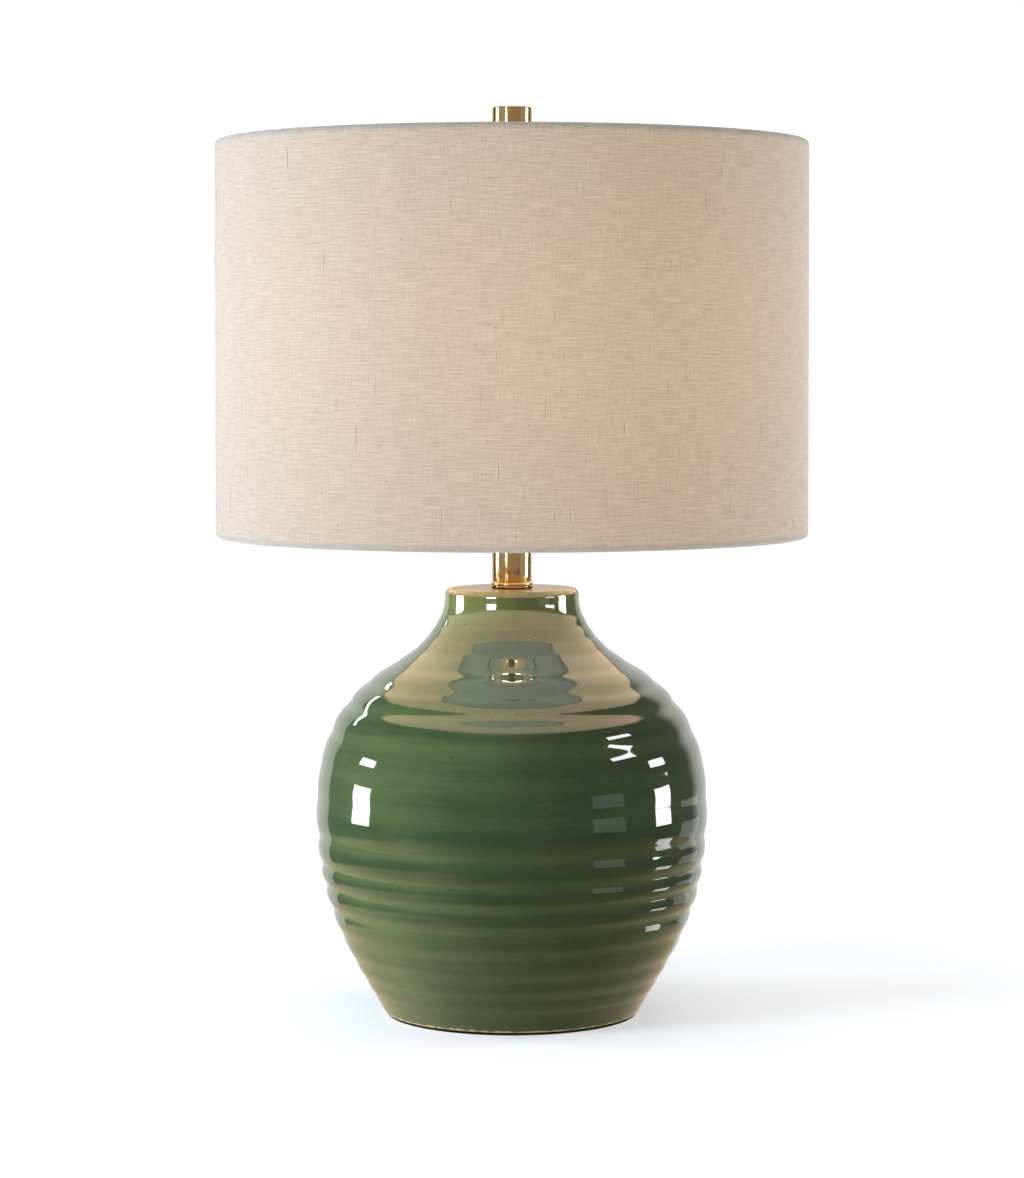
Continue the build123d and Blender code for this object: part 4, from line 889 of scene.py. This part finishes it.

# %% [markdown]
# The slubs are 3 to 18 mm long and about 0.3 mm thick, half sunk in the cloth. They stay clear of the
# hems and of the lapped seam at the back. The cloth and its slubs move with the shade.

# %% slubs on the shade
slubs = grow(
    "linen_slubs",
    slubbed,
    bpy.data.meshes.new("slub_start"),
    {
        "Length": 1.16, "Height": 0.236, "Radius": 0.19045, "Base": SHADE_MIDDLE, "Per metre": 9000.0,
        "Shortest": 0.003, "Longest": 0.018, "Thickness": 0.0003, "Seed": 7, "Linen": linen,
    },
)
slubs.data.shade_smooth()
layer = slubs.data.uv_layers.new(name="cloth")
for corner in slubs.data.loops:
    x, y, z = slubs.data.vertices[corner.vertex_index].co
    layer.data[corner.index].uv = (SHADE_RADIUS / 1000 * math.atan2(x, -y), z)
for piece in (strip, slubs):
    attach(piece, "shade")
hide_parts("shade_fabric", "shade_top_hem", "shade_bottom_hem")
print(slubs.name, len(slubs.data.polygons), "faces")

# %% [markdown]
# The bulb's cap has a rolled screw thread, 7 turns to the inch. A spiral swept with a small round
# section makes the ridges, over a plain sleeve that is turned like the neck.

# %% bulb thread
threaded, given = new_tree(
    "rolled_thread",
    Geometry=["Sleeve"],
    Float=["Turns", "Radius", "Rise", "Base", "Ridge"],
    Material=["Metal"],
)
coil = {
    "Resolution": 40, "Rotations": given["Turns"], "Start Radius": given["Radius"],
    "End Radius": given["Radius"], "Height": given["Rise"],
}
coil = add(threaded, "GeometryNodeCurveSpiral", coil)
ridge = add(threaded, "GeometryNodeCurvePrimitiveCircle", {"Resolution": 8, "Radius": given["Ridge"]})
worm = {"Curve": coil, "Profile Curve": ridge, "Fill Caps": True}
worm = add(threaded, "GeometryNodeCurveToMesh", worm)
lifted = add(threaded, "ShaderNodeCombineXYZ", {"Z": given["Base"]})
worm = add(threaded, "GeometryNodeTransform", {"Geometry": worm, "Translation": lifted})
both = add(threaded, "GeometryNodeJoinGeometry", {"Geometry": given["Sleeve"]})
threaded.links.new(worm.outputs[0], both.inputs[0])
real = add(threaded, "GeometryNodeRealizeInstances", {"Geometry": both})
plated = add(threaded, "GeometryNodeSetMaterial", {"Geometry": real, "Material": given["Metal"]})
add(threaded, "NodeGroupOutput", {0: plated})
sleeve = turned(
    "bulb_sleeve",
    [(12.0, 371.2), (12.5, 371.2), (12.5, 391.6), (13.2, 392.2), (13.2, 392.7), (12.0, 392.7)],
    64,
    aluminium,
)
cap = grow(
    "bulb_screw_cap",
    threaded,
    sleeve.data,
    {"Turns": 4.6, "Radius": 0.0124, "Rise": 0.0167, "Base": 0.3732, "Ridge": 0.0008, "Metal": aluminium},
)
bpy.data.objects.remove(sleeve)
cap.data.shade_smooth()
cap.data.set_sharp_from_angle(angle=CRISP_EDGE)
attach(cap, "bulb")
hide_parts("bulb_base")
print(cap.name, len(cap.data.polygons), "faces")

# %% [markdown]
# The lit bulb. A frosted bulb could shine all over, but then the glaze would mirror a large light. The
# real shoulder mirrors a small one, so only the neck of the glass shines at full strength. The globe
# above it glows faintly, and still shows as frosted glass when the shade is lifted off.

# %% lit frosted glass
NECK_END, GLOBE_BEGINS = 0.406, 0.416
frosted, tree = new_material("frosted_glass_lit")
place = add(tree, "ShaderNodeTexCoord").outputs["Object"]
frost = add(tree, "ShaderNodeTexNoise", {"Vector": place, "Scale": 1 / 0.008, "Detail": 3.0})
level = add(tree, "ShaderNodeSeparateXYZ", {0: place}).outputs["Z"]
shine = {"Value": level, 1: NECK_END, 2: GLOBE_BEGINS, 3: 46.0, 4: 0.6}
shine = add(tree, "ShaderNodeMapRange", shine, interpolation_type="SMOOTHSTEP")
warm = add(tree, "ShaderNodeMix", {0: frost, 6: linear("#ffdcb4"), 7: linear("#ffe4c4")}, data_type="RGBA")
glass = add(tree, "ShaderNodeMix", {0: frost, 6: linear("#b9b2a6"), 7: linear("#c6c0b4")}, data_type="RGBA")
matt = add(tree, "ShaderNodeMapRange", {"Value": frost, 3: 0.4, 4: 0.6})
shader = add(
    tree,
    "ShaderNodeBsdfPrincipled",
    {
        "Base Color": glass.outputs[2], "Roughness": matt,
        "Emission Color": warm.outputs[2], "Emission Strength": shine,
    },
)
add(tree, "ShaderNodeOutputMaterial", {"Surface": shader})
print("material", frosted.name)

# %% [markdown]
# The remaining pieces keep their CAD shape and get a finish. Each non-metal is a base colour broken up
# by noise at the size of its real grain, with its own gloss: milky styrene film behind the linen,
# moulded phenolic on the switch, fibrous paper in the socket, and glass in the bulb's foot. The styrene
# film also glows warm: a painted glow that stands in for the lit bulb shining on it.


# %% moulded, pressed and drawn finishes
def grained(name, pale, dark, grain_mm, smooth, rough, bump_mm, **sockets):
    """Non-metal with a grain of a given size in its colour, gloss and surface."""
    made, tree = new_material(name)
    place = add(tree, "ShaderNodeTexCoord").outputs["Object"]
    grain = add(tree, "ShaderNodeTexNoise", {"Vector": place, "Scale": 1000 / grain_mm, "Detail": 4.0})
    part = add(tree, "ShaderNodeMapRange", {"Value": grain, 1: 0.3, 2: 0.7})
    colour = add(tree, "ShaderNodeMix", {0: part, 6: linear(pale), 7: linear(dark)}, data_type="RGBA")
    gloss = add(tree, "ShaderNodeMapRange", {"Value": grain, 1: 0.3, 2: 0.7, 3: smooth, 4: rough})
    skin = add(tree, "ShaderNodeBump", {"Height": grain, "Distance": bump_mm / 1000, "Strength": 0.5})
    inputs = {"Base Color": colour.outputs[2], "Roughness": gloss, "Normal": skin}
    inputs.update({key.replace("_", " "): value for key, value in sockets.items()})
    shader = add(tree, "ShaderNodeBsdfPrincipled", inputs)
    add(tree, "ShaderNodeOutputMaterial", {"Surface": shader})
    return made


finishes = {
    "brass": brass,
    "zinc_steel": steel,
    "bulb_aluminium": aluminium,
    "tungsten": tungsten,
    "rubber": rubber,
    "linen": linen,
    "glaze": glaze,
    "frosted_glass": frosted,
    # Painted glow: the liner's emission stands in for the bulb's light on it.
    "liner_plastic": grained(
        "milky_styrene_film_painted_glow", "#f3eee2", "#ebe4d4", 6.0, 0.45, 0.6, 0.02,
        Emission_Color=linear("#ffd9b2"), Emission_Strength=0.6,
    ),
    "phenolic": grained("moulded_phenolic", "#1d1713", "#120e0c", 1.5, 0.25, 0.4, 0.02),
    "insulating_paper": grained("vulcanised_fibre_paper", "#5a4636", "#3f3026", 0.8, 0.75, 0.9, 0.05),
    "clear_glass": grained(
        "pressed_clear_glass", "#f4f8f6", "#eaf2ee", 4.0, 0.02, 0.08, 0.01, Transmission_Weight=1.0
    ),
    "black_glass": grained("fused_black_glass", "#16161a", "#0b0b0d", 2.0, 0.08, 0.2, 0.02),
}
for part in frame["record"]["subparts"]:
    for slot in frame["nodes"][part["node"]].material_slots:
        slot.material = finishes[part["material_slot"]]

# %% [markdown]
# The visual model keeps the CAD model's size. Both boxes are worked out and printed.

# %% sizes
boxes = {"cad": cad_box, "visual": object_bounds()}
boxes = {name: [[float(v) for v in corner] for corner in box] for name, box in boxes.items()}
print(boxes)
